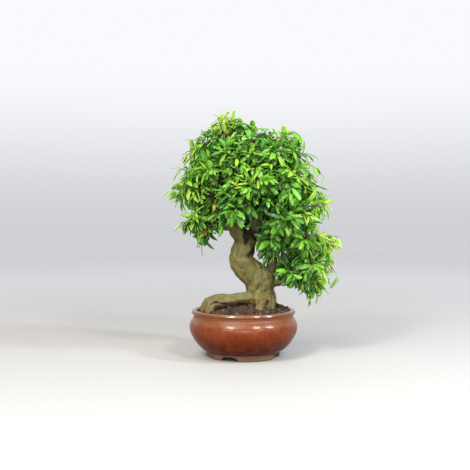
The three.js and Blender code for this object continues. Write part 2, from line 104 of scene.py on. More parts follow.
def welded(name):
    """A node's corners and triangles, with the corners that its faces share made one."""
    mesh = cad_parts[name].data
    corners = np.empty(len(mesh.vertices) * 3)
    mesh.vertices.foreach_get("co", corners)
    corners = corners.reshape(-1, 3)
    mesh.calc_loop_triangles()
    faces = np.empty(len(mesh.loop_triangles) * 3, np.int32)
    mesh.loop_triangles.foreach_get("vertices", faces)
    rounded = np.round(corners / (0.01 * MM))
    _, first, same = np.unique(rounded, axis=0, return_index=True, return_inverse=True)
    return corners[first], same.reshape(-1)[faces].reshape(-1, 3)


def wood_tree():
    """The wood's solid, made ready for finding what is near it or meets it."""
    return BVHTree.FromPolygons(*[part.tolist() for part in welded("trunk")])


# ------------------------------------------------------------------ sizes and colours


def colour(name, description, default):
    return bpy.props.FloatVectorProperty(
        name=name, description=description, default=default, subtype="COLOR", size=3, min=0, max=1
    )


def number(name, description, default, **more):
    return bpy.props.FloatProperty(name=name, description=description, default=default, min=0, **more)


def length(name, description, default):
    return number(name, description, default, subtype="DISTANCE", unit="LENGTH", precision=5)


def share(name, description, default):
    return number(name, description, default, subtype="FACTOR", max=1)


def count(name, description, default):
    return bpy.props.IntProperty(name=name, description=description, default=default, min=1)


class PotSettings(bpy.types.PropertyGroup):
    glaze: colour("Glaze", "Colour of the glaze where it is thickest", (0.140, 0.0255, 0.0070))
    # Low on the belly this deep colour is partly the glaze's own and partly painted shade; it also colours
    # the dark runs.
    glaze_deep_and_low_shade: colour("Deep glaze", "Colour of the glaze low on the belly", (0.031, 0.0050, 0.0018))
    glaze_thin: colour("Thin glaze", "Colour where the glaze thins on the neck", (0.165, 0.066, 0.022))
    glaze_rim: colour("Rim glaze", "Colour where the glaze thins on the rim", (0.130, 0.086, 0.038))
    clay: colour("Clay", "Colour of the bare foot", (0.215, 0.110, 0.062))
    sides: count("Sides", "Corners round the pot", 256)


class SoilSettings(bpy.types.PropertyGroup):
    grain: length("Grain", "Mean width of a granule", 0.0034)
    grains: count("Granules", "How many granules lie on the soil", 3600)
    dark: colour("Dark grains", "Colour of the darkest granules", (0.012, 0.0065, 0.0036))
    red: colour("Red grains", "Colour of the reddest granules", (0.084, 0.026, 0.010))
    pale: colour("Pale grains", "Colour of the palest granules", (0.16, 0.120, 0.065))


class WoodSettings(bpy.types.PropertyGroup):
    voxel: length("Grid", "Size of the grid that the wood is carved on", 0.0014)
    crease: share("Creases", "Strength of the carved creases", 1.0)
    bark: colour("Bark", "Colour of the smooth bark", (0.070, 0.074, 0.009))
    bark_pale_and_ridge_highlight: colour("Pale bark", "Colour of the rubbed ridges", (0.142, 0.113, 0.032))
    # Pale streaks, and the raised ridges, which are partly rubbed bark and partly a painted highlight.
    bark_dark_and_crease_shade: colour("Dark bark", "Colour of the creases", (0.012, 0.009, 0.003))
    # Dark streaks and grit, and the painted shade in the creases.
    bark_young: colour("Young bark", "Colour of the limbs and twigs", (0.078, 0.042, 0.021))


class FoliageSettings(bpy.types.PropertyGroup):
    blade: length("Leaf", "Mean length of a leaf on a side twig", 0.0252)
    slim: share("Slimness", "Width of a leaf beside its length", 0.330)
    twigs: count("Side twigs", "Side twigs on a shoot", 5)
    spacing: length("Twig spacing", "Least distance between the twig ends on the crown", 0.0156)
    # The old leaves' colour is partly painted shade, for leaves in the crown's middle and where shade spots
    # are painted.
    deep: colour("Old leaves", "Colour of the leaves inside the crown", (0.012, 0.070, 0.008))
    mid: colour("Leaves", "Colour of most leaves", (0.164, 0.500, 0.040))
    light: colour("Light leaves", "Colour of the younger leaves", (0.40, 0.63, 0.066))
    new: colour("New leaves", "Colour of the newest leaves", (0.64, 0.68, 0.13))


class StageSettings(bpy.types.PropertyGroup):
    floor: colour("Floor", "Colour of the floor round the pot", (0.39, 0.38, 0.365))
    floor_far: colour("Far floor", "Colour of the floor far behind the pot", (0.552, 0.557, 0.573))
    sky: colour("Air", "Colour of the light from all sides", (0.95, 0.96, 1.0))
    lens: number("Lens", "The camera's focal length, in millimetres", 57.3, unit="CAMERA")
    softbox: number("Softboxes", "Power of a softbox", 24, unit="POWER")
    skylight: number("Skylight", "Strength of the wide light overhead", 1.7)


# ------------------------------------------------------------------ meshes and materials


def tube_faces(rows, sides, first=0, closed=False):
    """Quads between rings of corners that follow each other, and back to the first ring where closed."""
    faces = []
    for row in range(rows if closed else rows - 1):
        low, high = first + row * sides, first + (row + 1) % rows * sides
        faces += [(low + k, low + (k + 1) % sides, high + (k + 1) % sides, high + k) for k in range(sides)]
    return faces


def smooth_profile(points, between):
    """More points between the given ones, on a curve through them."""
    points = np.array(points, float)
    padded = np.vstack([2 * points[0] - points[1], points, 2 * points[-1] - points[-2]])
    out = []
    for i in range(1, len(points)):
        a, b, c, d = padded[i - 1:i + 3]
        for t in np.arange(between) / between:
            out.append(0.5 * (2 * b + (c - a) * t + (2 * a - 5 * b + 4 * c - d) * t**2
                              + (3 * b - a - 3 * c + d) * t**3))
    out.append(points[-1])
    return np.array(out)


def mesh_piece(name, corners, faces, materials, replaced, smooth=True):
    """A piece of the object from corners and faces, riding on the root body in place of the nodes named."""
    mesh = bpy.data.meshes.new(name)
    mesh.from_pydata(np.asarray(corners).tolist(), [], [list(face) for face in faces])
    mesh.validate()
    mesh.update()
    for material in materials:
        mesh.materials.append(material)
    mesh.polygons.foreach_set("use_smooth", [smooth] * len(mesh.polygons))
    return mounted(bpy.data.objects.new(name, mesh), replaced)


def mounted(piece, replaced):
    bpy.context.scene.collection.objects.link(piece)
    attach(piece, "root")
    if replaced:
        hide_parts(*replaced)
    return piece


def give_numbers(mesh, name, values):
    """Stores one number for each corner, which a material reads by name."""
    layer = mesh.attributes.new(name, "FLOAT", "POINT")
    layer.data.foreach_set("value", np.asarray(values, np.float32))


class Nodes:
    """Builds the nodes of a material or of the air. Inputs are numbers, colours or other nodes' outputs."""

    def __init__(self, name, kind="Material"):
        self.owner = {"Material": bpy.data.materials, "World": bpy.data.worlds}[kind].new(name)
        self.owner.use_nodes = True
        self.tree = self.owner.node_tree
        self.tree.nodes.clear()
        self.output = self.tree.nodes.new("ShaderNodeOutput" + kind)

    def set(self, socket, value):
        if isinstance(value, bpy.types.NodeSocket):
            self.tree.links.new(value, socket)
        elif hasattr(value, "__len__") and socket.type == "RGBA":
            socket.default_value = (*value[:3], 1)
        else:
            socket.default_value = value

    def add(self, kind, options=None, **inputs):
        """A new node with its options and its inputs by name, in which an underline stands for a space."""
        node = self.tree.nodes.new(kind)
        for key, value in (options or {}).items():
            setattr(node, key, value)
        for key, value in inputs.items():
            self.set(node.inputs[key.replace("_", " ")], value)
        return node

    def in_order(self, kind, values, **options):
        """The output of a new node whose inputs are given in their order."""
        node = self.add(kind, options)
        for socket, value in zip(node.inputs, values):
            self.set(socket, value)
        return node.outputs[0]

    def maths(self, operation, a, b=0.0, c=0.0):
        return self.in_order("ShaderNodeMath", (a, b, c), operation=operation)

    def times(self, a, b):
        return self.maths("MULTIPLY", a, b)

    def times_plus(self, a, b, c):
        return self.maths("MULTIPLY_ADD", a, b, c)

    def span(self, value, low, high, least=0.0, most=1.0):
        """Goes smoothly from the least to the most while the value goes from low to high."""
        values = (value, low, high, least, most)
        return self.in_order("ShaderNodeMapRange", values, interpolation_type="SMOOTHSTEP")

    def rise(self, level, between, least=0.0, most=1.0):
        """The same between two levels in millimetres."""
        return self.span(level, between[0] * MM, between[1] * MM, least, most)

    def band(self, level, levels, most):
        """Goes up to the most between the first two levels, and back to 0 between the last two."""
        return self.times(self.times(self.rise(level, levels[:2]), self.rise(level, levels[:1:-1])), most)

    def mix(self, factor, a, b):
        node = self.add("ShaderNodeMix", {"data_type": "RGBA"})
        for index, value in ((0, factor), (6, a), (7, b)):
            self.set(node.inputs[index], value)
        return node.outputs[2]

    def layers(self, body, *rows):
        """A colour with others laid over it, each row with how far it covers what is below."""
        for factor, tint in rows:
            body = self.mix(factor, body, tint)
        return body

    def noise(self, place, scale, detail, roughness):
        node = self.add("ShaderNodeTexNoise", Vector=place, Scale=scale, Detail=detail, Roughness=roughness)
        return node.outputs["Fac"]

    def number(self, name):
        return self.add("ShaderNodeAttribute", {"attribute_name": name}).outputs["Fac"]

    def place(self):
        return self.add("ShaderNodeTexCoord").outputs["Object"]

    def stretched(self, place, scale, shift=(0, 0, 0)):
        return self.add("ShaderNodeMapping", Vector=place, Scale=scale, Location=shift).outputs[0]

    def height(self, place):
        return self.add("ShaderNodeSeparateXYZ", Vector=place).outputs["Z"]

    def bump(self, height, strength, distance, **below):
        """Relief from a height, on top of the relief below it where Normal gives one."""
        node = self.add("ShaderNodeBump", Height=height, Strength=strength, Distance=distance, **below)
        return node.outputs[0]

    def shown(self, shader):
        """Makes a shader the surface, and gives back the material or the air."""
        self.tree.links.new(shader, self.output.inputs["Surface"])
        return self.owner

    def finish(self, **inputs):
        return self.shown(self.add("ShaderNodeBsdfPrincipled", **inputs).outputs[0])


# ------------------------------------------------------------------ pot

# Outside and inside of the pot as radius and level in millimetres, from the bare foot to the floor.
FOOT = [
    (9, 8.5), (30, 8.2), (56.2, 7.8), (57.2, 6.6), (57.6, 1.2), (58.6, 0.15), (60.5, 0), (63.5, 0),
    (65.2, 0.7), (65.8, 2.5), (66.0, 6), (66.2, 9.4), (66.8, 10.2),
]
BELLY = [
    (67.4, 10.4), (70, 11.8), (75.4, 14.8), (80.9, 19.8), (86.2, 26.4), (90.6, 32.6), (93.6, 38),
    (96.1, 43.2), (97.5, 48), (98.2, 53.5), (97.9, 58), (96.4, 63), (93.6, 67.8), (91.2, 71), (89.9, 73.4),
    (89.7, 75), (90.3, 76.3),
]
RIM = [
    (91.8, 76.9), (93.3, 77.9), (94.1, 79.1), (94.4, 80.3), (94.1, 81.3), (93.6, 82.3), (93.0, 83.4),
    (92.3, 84.4), (90.6, 84.8), (88.4, 84.8), (86.8, 84.3), (85.6, 83.2), (85.2, 81.6),
]
INSIDE = [(85.6, 79), (87.8, 70), (91.7, 55), (87.5, 38), (78, 24), (66, 16), (60, 15), (9, 15)]
# The arched cut-outs in the foot ring: how many, the first one's bearing in degrees, and in millimetres
# half their width, their rise, the ring's middle and inside, and the most that a corner is lifted.
ARCH = {
    "count": 4, "first": -23.4, "half_width": 16.3, "rise": 7.6, "radius": 61.5, "inside": 56.5, "most": 7.7,
}

# Levels in millimetres between which the glaze reddens out of its deep colour, which low on the belly is
# partly the glaze's own deeper tone and partly painted shade, gets flecks, turns greener, breaks pale on the
# lip, dulls on the neck, shines on the lip and gets glossier.
BELLY_SHADE_FADES, FLECKED, GREENS, BREAKS = (16, 58), (34, 60), (66, 78), (82.5, 84.6)
DULLS, SHINES, GLOSSY = (70.0, 72.5), (76.5, 78.5), (56, 73)
# Levels between which a band comes in and goes out: a painted highlight just under the lip, and a darker band
# of glaze on the lip's front.
UNDER_LIP_HIGHLIGHT = (74.8, 75.8, 77.0, 78.0)
LIP_FRONT = (78.0, 79.0, 81.0, 82.0)
GLAZE_CLOUD = (0.195, 0.040, 0.010)
GLAZE_FLECK = (0.19, 0.070, 0.026)
# Colour of the painted highlight just under the lip.
PAINTED_UNDER_LIP_HIGHLIGHT = (0.420, 0.160, 0.080)
GLAZE_LIP_FRONT = (0.100, 0.025, 0.010)
GLAZE_SPECK = (0.018, 0.005, 0.003)
CLAY_DARK = (0.120, 0.058, 0.032)
CLAY_STAIN = (0.070, 0.030, 0.017)


def arch_level(bearing):
    """How high the foot ring is cut away at a bearing, in millimetres."""
    level = 0.0
    for k in range(ARCH["count"]):
        middle = math.radians(ARCH["first"] - 90 + 360 * k / ARCH["count"])
        turn = (bearing - middle + math.pi) % ROUND - math.pi
        off = abs(ARCH["radius"] * math.sin(turn)) / ARCH["half_width"]
        if abs(turn) < 1 and off < 1:
            level = ARCH["rise"] * (1 - off**2.6) ** 0.5
    return level


def glaze_material(pot):
    """Red-brown glaze, deep low on the belly (partly the glaze's own tone, partly painted shade), thin and
    greener on the neck, with a painted highlight just under the lip, and pale on the lip.
    """
    nodes = Nodes("red_brown_glaze")
    place = nodes.place()
    level = nodes.height(place)
    cloud = nodes.noise(place, 55, 4, 0.55)
    runs = nodes.noise(nodes.stretched(place, (1, 1, 0.22)), 210, 3, 0.6)
    specks = nodes.noise(place, 1400, 2, 0.6)
    flecks = nodes.span(nodes.noise(place, 380, 4, 0.7), 0.52, 0.70)
    wavering = nodes.times_plus(cloud, 0.022, level)
    thin = nodes.times(nodes.rise(wavering, GREENS), nodes.span(runs, 0.25, 0.65, 0.85, 0.45))
    lip = nodes.times(nodes.rise(level, BREAKS), nodes.span(runs, 0.3, 0.6, 0.55, 0.95))
    body = nodes.layers(
        pot.glaze_deep_and_low_shade,
        # The belly is darker low down: partly the glaze's deeper tone, partly painted shade.
        (nodes.rise(wavering, BELLY_SHADE_FADES), pot.glaze),
        (nodes.span(cloud, 0.38, 0.72, 0, 0.40), GLAZE_CLOUD),
        (nodes.span(runs, 0.42, 0.74, 0, 0.34), pot.glaze_deep_and_low_shade),
        (nodes.times(flecks, nodes.rise(level, FLECKED, 0.06, 0.34)), GLAZE_FLECK),
        (thin, pot.glaze_thin),
        # A pale band just under the lip is a painted highlight.
        (nodes.band(level, UNDER_LIP_HIGHLIGHT, 0.75), PAINTED_UNDER_LIP_HIGHLIGHT),
        (nodes.band(level, LIP_FRONT, 0.65), GLAZE_LIP_FRONT),
        (lip, pot.glaze_rim),
        (nodes.span(specks, 0.66, 0.74, 0, 0.5), GLAZE_SPECK),
    )
    skin = nodes.bump(nodes.noise(place, 160, 2, 0.4), 0.10, 0.002)
    skin = nodes.bump(specks, 0.05, 0.0004, Normal=skin)
    rough = nodes.times_plus(nodes.rise(level, DULLS), 0.22, nodes.span(runs, 0.3, 0.8, 0.17, 0.29))
    rough = nodes.times_plus(nodes.rise(level, SHINES), -0.25, rough)
    shine = nodes.rise(wavering, GLOSSY, 0.13, 0.50)
    return nodes.finish(Base_Color=body, Roughness=rough, Normal=skin, IOR=1.36, Specular_IOR_Level=shine)


def clay_material(pot):
    """Bare clay, grainy and stained."""
    nodes = Nodes("bare_clay")
    place = nodes.place()
    grain = nodes.noise(place, 900, 4, 0.65)
    stain = nodes.span(nodes.noise(place, 60, 3, 0.6), 0.45, 0.75, 0, 0.6)
    body = nodes.layers(CLAY_DARK, (nodes.span(grain, 0.3, 0.7), pot.clay), (stain, CLAY_STAIN))
    return nodes.finish(Base_Color=body, Roughness=0.82, Normal=nodes.bump(grain, 0.5, 0.0006))


class BONSAI_OT_make_pot(bpy.types.Operator):
    """Builds the glazed pot with its bare clay foot"""

    bl_idname = "bonsai.make_pot"
    bl_label = "Pot"

    def execute(self, context):
        pot = context.scene.bonsai_pot
        curves = [smooth_profile(*curve) for curve in ((BELLY, 3), (RIM, 2), (INSIDE, 2))]
        profile = np.vstack([FOOT, *curves])
        bearings = ROUND * np.arange(pot.sides) / pot.sides
        cut = np.array([arch_level(bearing) for bearing in bearings])
        radius, level = profile[:, :1], profile[:, 1:]
        in_foot = (radius > ARCH["inside"]) & (np.arange(len(profile))[:, None] < len(FOOT))
        level = np.where(in_foot, np.maximum(level, np.minimum(cut, ARCH["most"])), level)
        x = AXIS_X + radius * np.cos(bearings) * MM
        y = AXIS_Y + radius * np.sin(bearings) * MM
        corners = np.stack([x, y, level * MM], 2).reshape(-1, 3)
        faces = tube_faces(len(profile), pot.sides, closed=True)
        materials = [glaze_material(pot), clay_material(pot)]
        piece = mesh_piece("glazed_pot", corners, faces, materials, ["pot"])
        for face in piece.data.polygons:
            row = face.index // pot.sides
            face.material_index = int(row < len(FOOT) - 1 or row == len(profile) - 1)
        return {"FINISHED"}


# ------------------------------------------------------------------ screen

SCREEN_BLACK = (0.012, 0.013, 0.014)
SCREEN_WORN = (0.05, 0.05, 0.048)


class BONSAI_OT_dress_screen(bpy.types.Operator):
    """Gives the mesh over the drain hole its black plastic"""

    bl_idname = "bonsai.dress_screen"
    bl_label = "Drain screen"

    def execute(self, context):
        nodes = Nodes("black_screen_plastic")
        scuff = nodes.noise(nodes.place(), 700, 3, 0.6)
        body = nodes.mix(nodes.span(scuff, 0.4, 0.75), SCREEN_BLACK, SCREEN_WORN)
        rough = nodes.span(scuff, 0.3, 0.7, 0.4, 0.7)
        material = nodes.finish(Base_Color=body, Roughness=rough, Normal=nodes.bump(scuff, 0.2, 0.0003))
        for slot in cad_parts["drain_screen"].material_slots:
            slot.material = material
        return {"FINISHED"}


# ------------------------------------------------------------------ soil

# The soil in millimetres: its level at the wall, its rise under the trunk, how wide and how far to the
# right that is, its radius, and the level of its foot over the drain screen.
SOIL_EDGE = 80.5
SOIL_RISE = 11.5
SOIL_SPREAD = 52
SOIL_MIDDLE = 12
SOIL_RADIUS = 85.0
SOIL_FOOT = 17.2
# Heaps on the soil: place across and back from the pot's axis, rise and spread, in millimetres.
SOIL_HEAPS = [(62, 6, 6.5, 11), (-30, -42, 1.5, 16), (8, -56, 1.8, 14)]
# The soil's side from the top down, as radius and level in millimetres.
SOIL_WALL = [(84.6, 79), (86.8, 70), (91, 55), (86.6, 38), (77, 24.5), (65, 16.2), (17.8, 15.6)]
SOIL_RINGS = 44
SOIL_SIDES = 160
# Height of the lumps in millimetres, and how many there are to a millimetre.
LUMP_HEIGHT = 0.9
LUMP_SCALE = 0.22
SOIL_BLACK = (0.008, 0.005, 0.004)
SOIL_BROWN = (0.034, 0.020, 0.014)

GRAIN_SEED = 21
GRAIN_SPREAD = 0.34
# In millimetres: how clear of the wall the granules are, and the half width from which they have finer
# facets.
GRAIN_CLEAR = 1.8
GRAIN_LARGE = 1.9
# Colour of the painted shade in the granules' pits.
GRAIN_PIT_SHADE = (0.008, 0.006, 0.005)


def soil_level(x, y):
    """The soil's level in millimetres at a place in millimetres from the pot's axis."""
    away = np.hypot(x - SOIL_MIDDLE, y) / SOIL_SPREAD
    heaps = sum(
        rise * np.exp(-((x - u) ** 2 + (y - v) ** 2) / spread**2) for u, v, rise, spread in SOIL_HEAPS
    )
    return float(SOIL_EDGE + SOIL_RISE * np.exp(-away**2) + heaps)


def soil_material():
    """Damp, nearly black soil, seen between the granules."""
    nodes = Nodes("damp_soil")
    crumb = nodes.noise(nodes.place(), 420, 5, 0.7)
    body = nodes.mix(nodes.span(crumb, 0.3, 0.7), SOIL_BLACK, SOIL_BROWN)
    return nodes.finish(Base_Color=body, Roughness=0.95, Normal=nodes.bump(crumb, 1.0, 0.002))


def grain_material(soil):
    """Fired clay granules from nearly black to red, with some pale ones, all of them pitted, with painted
    shade in the pits.
    """
    nodes = Nodes("soil_granules")
    place = nodes.place()
    tint = nodes.number("grain_tint")
    pores = nodes.noise(place, 1500, 4, 0.7)
    patch = nodes.times_plus(nodes.noise(place, 45, 2, 0.5), 1.2, nodes.maths("SUBTRACT", tint, 0.6))
    body = nodes.layers(
        soil.dark,
        (nodes.span(patch, 0.15, 0.75), soil.red),
        (nodes.span(tint, 0.86, 0.97), soil.pale),
        # The pits are darkened with painted shade.
        (nodes.span(pores, 0.35, 0.65, 0.55, 0), GRAIN_PIT_SHADE),
    )
    return nodes.finish(Base_Color=body, Roughness=0.88, Normal=nodes.bump(pores, 0.7, 0.0008))


class BONSAI_OT_make_soil(bpy.types.Operator):
    """Builds the soil and the loose granules on it"""

    bl_idname = "bonsai.make_soil"
    bl_label = "Soil and granules"

    def execute(self, context):
        corners = [at(0, 0, soil_level(0, 0))]
        for ring in range(1, SOIL_RINGS + 1):
            for k in range(SOIL_SIDES):
                bearing = ROUND * (k + 0.5 * (ring % 2)) / SOIL_SIDES
                x, y = on_circle(SOIL_RADIUS * ring / SOIL_RINGS, bearing)
                lump = LUMP_HEIGHT * noise.noise(Vector((x, y, 3)) * LUMP_SCALE) * (ring < SOIL_RINGS)
                corners.append(at(x, y, soil_level(x, y) + lump))
        for radius, level in SOIL_WALL:
            corners += [at(*on_circle(radius, ROUND * k / SOIL_SIDES), level) for k in range(SOIL_SIDES)]
        corners.append(at(0, 0, SOIL_FOOT))
        rows = SOIL_RINGS + len(SOIL_WALL)
        faces = [(a, d, c, b) for a, b, c, d in tube_faces(rows, SOIL_SIDES, first=1)]
        last = 1 + (rows - 1) * SOIL_SIDES
        for k in range(SOIL_SIDES):
            turn = (k + 1) % SOIL_SIDES
            faces += [(0, 1 + k, 1 + turn), (last + k, len(corners) - 1, last + turn)]
        mesh_piece("soil_bed", corners, faces, [soil_material()], ["soil"])
        self.scatter(context.scene.bonsai_soil)
        return {"FINISHED"}

    def scatter(self, soil):
        """Lays faceted granules on the soil, each turned, squashed and partly sunk, and none in the wood."""
        rng = np.random.default_rng(GRAIN_SEED)
        wood = wood_tree()
        forms = [self.form(level) for level in (1, 2)]
        corners, faces, tints, start = [], [], [], 0
        for _ in range(soil.grains):
            radius = (SOIL_RADIUS - GRAIN_CLEAR) * math.sqrt(rng.random())
            x, y = on_circle(radius, ROUND * rng.random())
            size = soil.grain / MM / 2 * rng.lognormal(0, GRAIN_SPREAD)
            points, sides = forms[int(size > GRAIN_LARGE)]
            centre = at(x, y, soil_level(x, y) + size * rng.uniform(0.05, 0.6))
            near = wood.find_nearest(centre)
            if near[0] is not None and near[3] < size * 0.4 * MM:
                continue
            turn = np.linalg.qr(rng.normal(size=(3, 3)))[0]
            if np.linalg.det(turn) < 0:
                turn[:, 0] *= -1
            knobs = 1 + 0.16 * rng.normal(size=(len(points), 1)).clip(-1.6, 1.6)
            shape = points * knobs * rng.uniform([0.8, 0.7, 0.55], [1.25, 1.1, 0.95])
            corners.append(np.array(centre) + shape @ turn.T * size * MM)
            faces += (sides + start).tolist()
            start += len(points)
            tints.append(np.full(len(points), rng.random()))
        materials = [grain_material(soil)]
        piece = mesh_piece("soil_granules", np.vstack(corners), faces, materials, [], smooth=False)
        give_numbers(piece.data, "grain_tint", np.concatenate(tints))

    @staticmethod
    def form(level):
        """Corners and triangles of a ball one unit in radius, with more facets at a higher level."""
        ball = bmesh.new()
        bmesh.ops.create_icosphere(ball, subdivisions=level, radius=1)
        points = np.array([corner.co for corner in ball.verts])
        sides = np.array([[corner.index for corner in face.verts] for face in ball.faces])
        ball.free()
        return points, sides


# ------------------------------------------------------------------ wood

# Lines carved into the wood or raised on it: side of the tree, width, depth (below 0 a ridge) and places
# across and up, in millimetres from the pot's foot. The side is -1 for the front and 1 for the back.
CARVINGS = [
    # The raised root: the slot between its strands, the line that it runs out in and the muscle along its
    # top.
    (-1, 2.0, 4.6, [(-59, 99), (-54, 102.2), (-46, 101.2)]),
    (-1, 1.5, 1.8, [(-65, 86), (-62, 94), (-58, 100), (-48, 101.4), (-42, 98.4), (-34, 96.6), (-20, 96)]),
    (-1, 1.7, 1.1, [(-6, 107), (-24, 110.5), (-44, 110.5), (-60, 107), (-68, 98), (-70, 90)]),
    (-1, 1.3, 0.8, [(-12, 103), (-30, 105.5), (-46, 106)]),
    (-1, 3.4, -1.1, [(20, 106), (0, 104), (-20, 103.5), (-34, 102.5)]),
    (-1, 1.4, 0.9, [(40, 104), (24, 103.5), (10, 108), (-2, 109.5)]),
    # The neck: the hollow between the stems, the groove beside it and the shaded side to the left.
    (-1, 10.5, 10.0, [(13, 242), (10, 229)]),
    (-1, 6.6, 8.0, [(8, 229), (5, 219)]),
    (-1, 3.8, 5.4, [(5, 219), (3.5, 208)]),
    (-1, 4.8, 5.8, [(20, 224), (22.5, 212), (23.5, 201), (18.5, 191.5), (11.5, 184.5)]),
    (-1, 4.0, -1.6, [(9, 206), (11, 198), (8, 189)]),
    (-1, 3.2, 1.2, [(-17, 213), (-13, 205), (-11, 196), (-12, 187), (-16, 180)]),
    (-1, 1.2, 1.2, [(-7, 180.6), (0, 180.8), (10, 181.8)]),
    (-1, 4.0, -1.3, [(-16, 175.5), (-4, 173), (8, 175), (17, 178)]),
    (-1, 2.4, 0.8, [(-18.1, 178), (-16.8, 171.7), (-9.2, 163.5), (-1.5, 162)]),
    (-1, 1.1, 2.0, [(-7.7, 160.9), (0, 159.8)]),
    (-1, 1.1, 1.7, [(7.8, 165), (14.5, 164.4)]),
    (-1, 2.2, 1.4, [(-22, 172), (-19, 168)]),
    # The shoulder's broad rolls, sweeping down to the left.
    (-1, 4.4, -1.4, [(18, 178), (24.1, 170), (30, 158), (28, 146), (22, 133), (14, 121)]),
    (-1, 3.0, 1.4, [(20.8, 156), (16.9, 142.6), (13, 132), (6.5, 122)]),
    (-1, 3.0, 1.2, [(35, 150), (33, 142), (29, 133), (24, 124)]),
    (-1, 2.4, 1.7, [(50, 142), (39, 139), (32, 131), (25, 123.5), (17, 115.5)]),
    (-1, 3.6, -1.3, [(53.5, 136), (44, 131), (36, 124), (28, 117)]),
    (-1, 1.6, 1.0, [(52.2, 124), (42, 120), (31, 116)]),
    (-1, 1.8, 1.2, [(2, 158), (4, 146), (5, 136)]),
    (-1, 4.6, 1.8, [(31, 163), (34, 157)]),
    # The base: pits by the side stem, the split between the feet and the foot's knobbly top.
    (-1, 1.5, 2.4, [(53.5, 123), (54, 120.8)]),
    (-1, 1.5, 2.2, [(56.2, 113.5), (56, 111)]),
    (-1, 2.6, 3.6, [(43.3, 101), (42, 96), (40, 90), (39, 84)]),
    (-1, 1.6, 2.0, [(26, 104), (24, 97), (20, 91)]),
    (-1, 1.5, 1.8, [(30, 99), (35, 96.5), (41, 98.5)]),
    (-1, 2.6, -1.6, [(31, 93), (33, 88), (36, 84)]),
    (-1, 2.0, -1.5, [(46, 107), (49, 101), (47, 95)]),
    (-1, 1.6, 2.0, [(51, 110), (51, 100), (49, 90)]),
    # The side stem, thicker low down, and the back.
    (-1, 10.0, -3.8, [(50, 188), (51, 176), (52, 162), (52, 150)]),
    (1, 10.0, -3.8, [(50, 188), (51, 176), (52, 162), (52, 150)]),
    (-1, 1.7, 1.5, [(47, 174), (46.5, 160), (46, 150)]),
    (-1, 1.5, 1.1, [(55, 190), (53, 176), (53, 162)]),
    (1, 4.5, 1.3, [(46, 150), (36, 136), (28, 120), (20, 104)]),
    (1, 4.0, -2.0, [(40, 160), (28, 146), (20, 130), (12, 112)]),
    (1, 3.9, 1.2, [(-22, 190), (-8, 178), (8, 170), (22, 168)]),
    (1, 3.9, 1.0, [(22, 204), (8, 194), (-6, 190), (-20, 178)]),
    (1, 4.2, -2.0, [(-14, 172), (2, 160), (14, 148), (24, 140)]),
    (1, 3.9, 0.9, [(-14, 160), (0, 148), (8, 132), (8, 116)]),
    (1, 5.2, 2.2, [(4, 234), (5, 222), (6, 208)]),
]
# Knots: side, radius of the ring, and place across and up.
KNOTS = [
    (-1, 4.6, 54.4, 152.4), (-1, 3.6, 33, 161.5), (1, 4.5, 34, 152), (-1, 3.0, -22, 176), (1, 3.6, -14, 206),
]
# How high a knot's ring stands and how deep its middle is, in millimetres.
KNOT_RING = 1.6
KNOT_HOLE = 1.5
# The wood's own unevenness: turns to a metre, and height in millimetres.
FOLDS = (62, 0.75)
LUMPS = (150, 0.35)
KNOBS = (105, 1.5)
# Rounds of smoothing before the carving and after it.
SMOOTH_FIRST = 26
SMOOTH_LAST = 2

# Patches on the bark: shift of the noise, its scale, where it starts and is full, its strength and its
# colour.
BARK_PATCHES = [
    ((0.3, 0.1, 0.2), 85, 0.52, 0.66, 0.70, (0.036, 0.050, 0.008)),
    ((0.7, 0.4, 0.1), 105, 0.52, 0.66, 0.75, (0.172, 0.150, 0.028)),
    ((0.2, 0.8, 0.6), 70, 0.56, 0.70, 0.65, (0.088, 0.044, 0.020)),
    ((0.9, 0.2, 0.8), 160, 0.56, 0.66, 0.80, (0.022, 0.016, 0.006)),
    ((0.5, 0.6, 0.4), 260, 0.60, 0.70, 0.45, (0.220, 0.190, 0.080)),
]
BARK_OLIVE = (0.115, 0.090, 0.020)
BARK_FOOT = (0.132, 0.085, 0.024)
# The bark turns to the colour of its foot between these levels, in millimetres.
FOOT_LEVELS = (118, 100)


def smoothed(corners, edges, rounds):
    """Evens out a mesh: each corner goes towards its neighbours, and back so that thin limbs don't shrink."""
    ends = np.concatenate([edges, edges[:, ::-1]])
    share_of = 1 / np.maximum(np.bincount(ends[:, 0], minlength=len(corners)), 1)
    for step in (0.6, -0.62) * rounds:
        mean = [np.bincount(ends[:, 0], corners[ends[:, 1], k], len(corners)) for k in range(3)]
        corners = corners + step * (np.stack(mean, 1) * share_of[:, None] - corners)
    return corners


def distance_to_line(points, line):
    """Each point's distance to a line through places."""
    best = np.full(len(points), 1e9)
    for a, b in zip(line[:-1], line[1:]):
        way = b - a
        t = np.clip((points - a) @ way / max(way @ way, 1e-12), 0, 1)
        best = np.minimum(best, distances(points - a, t[:, None] * way))
    return best


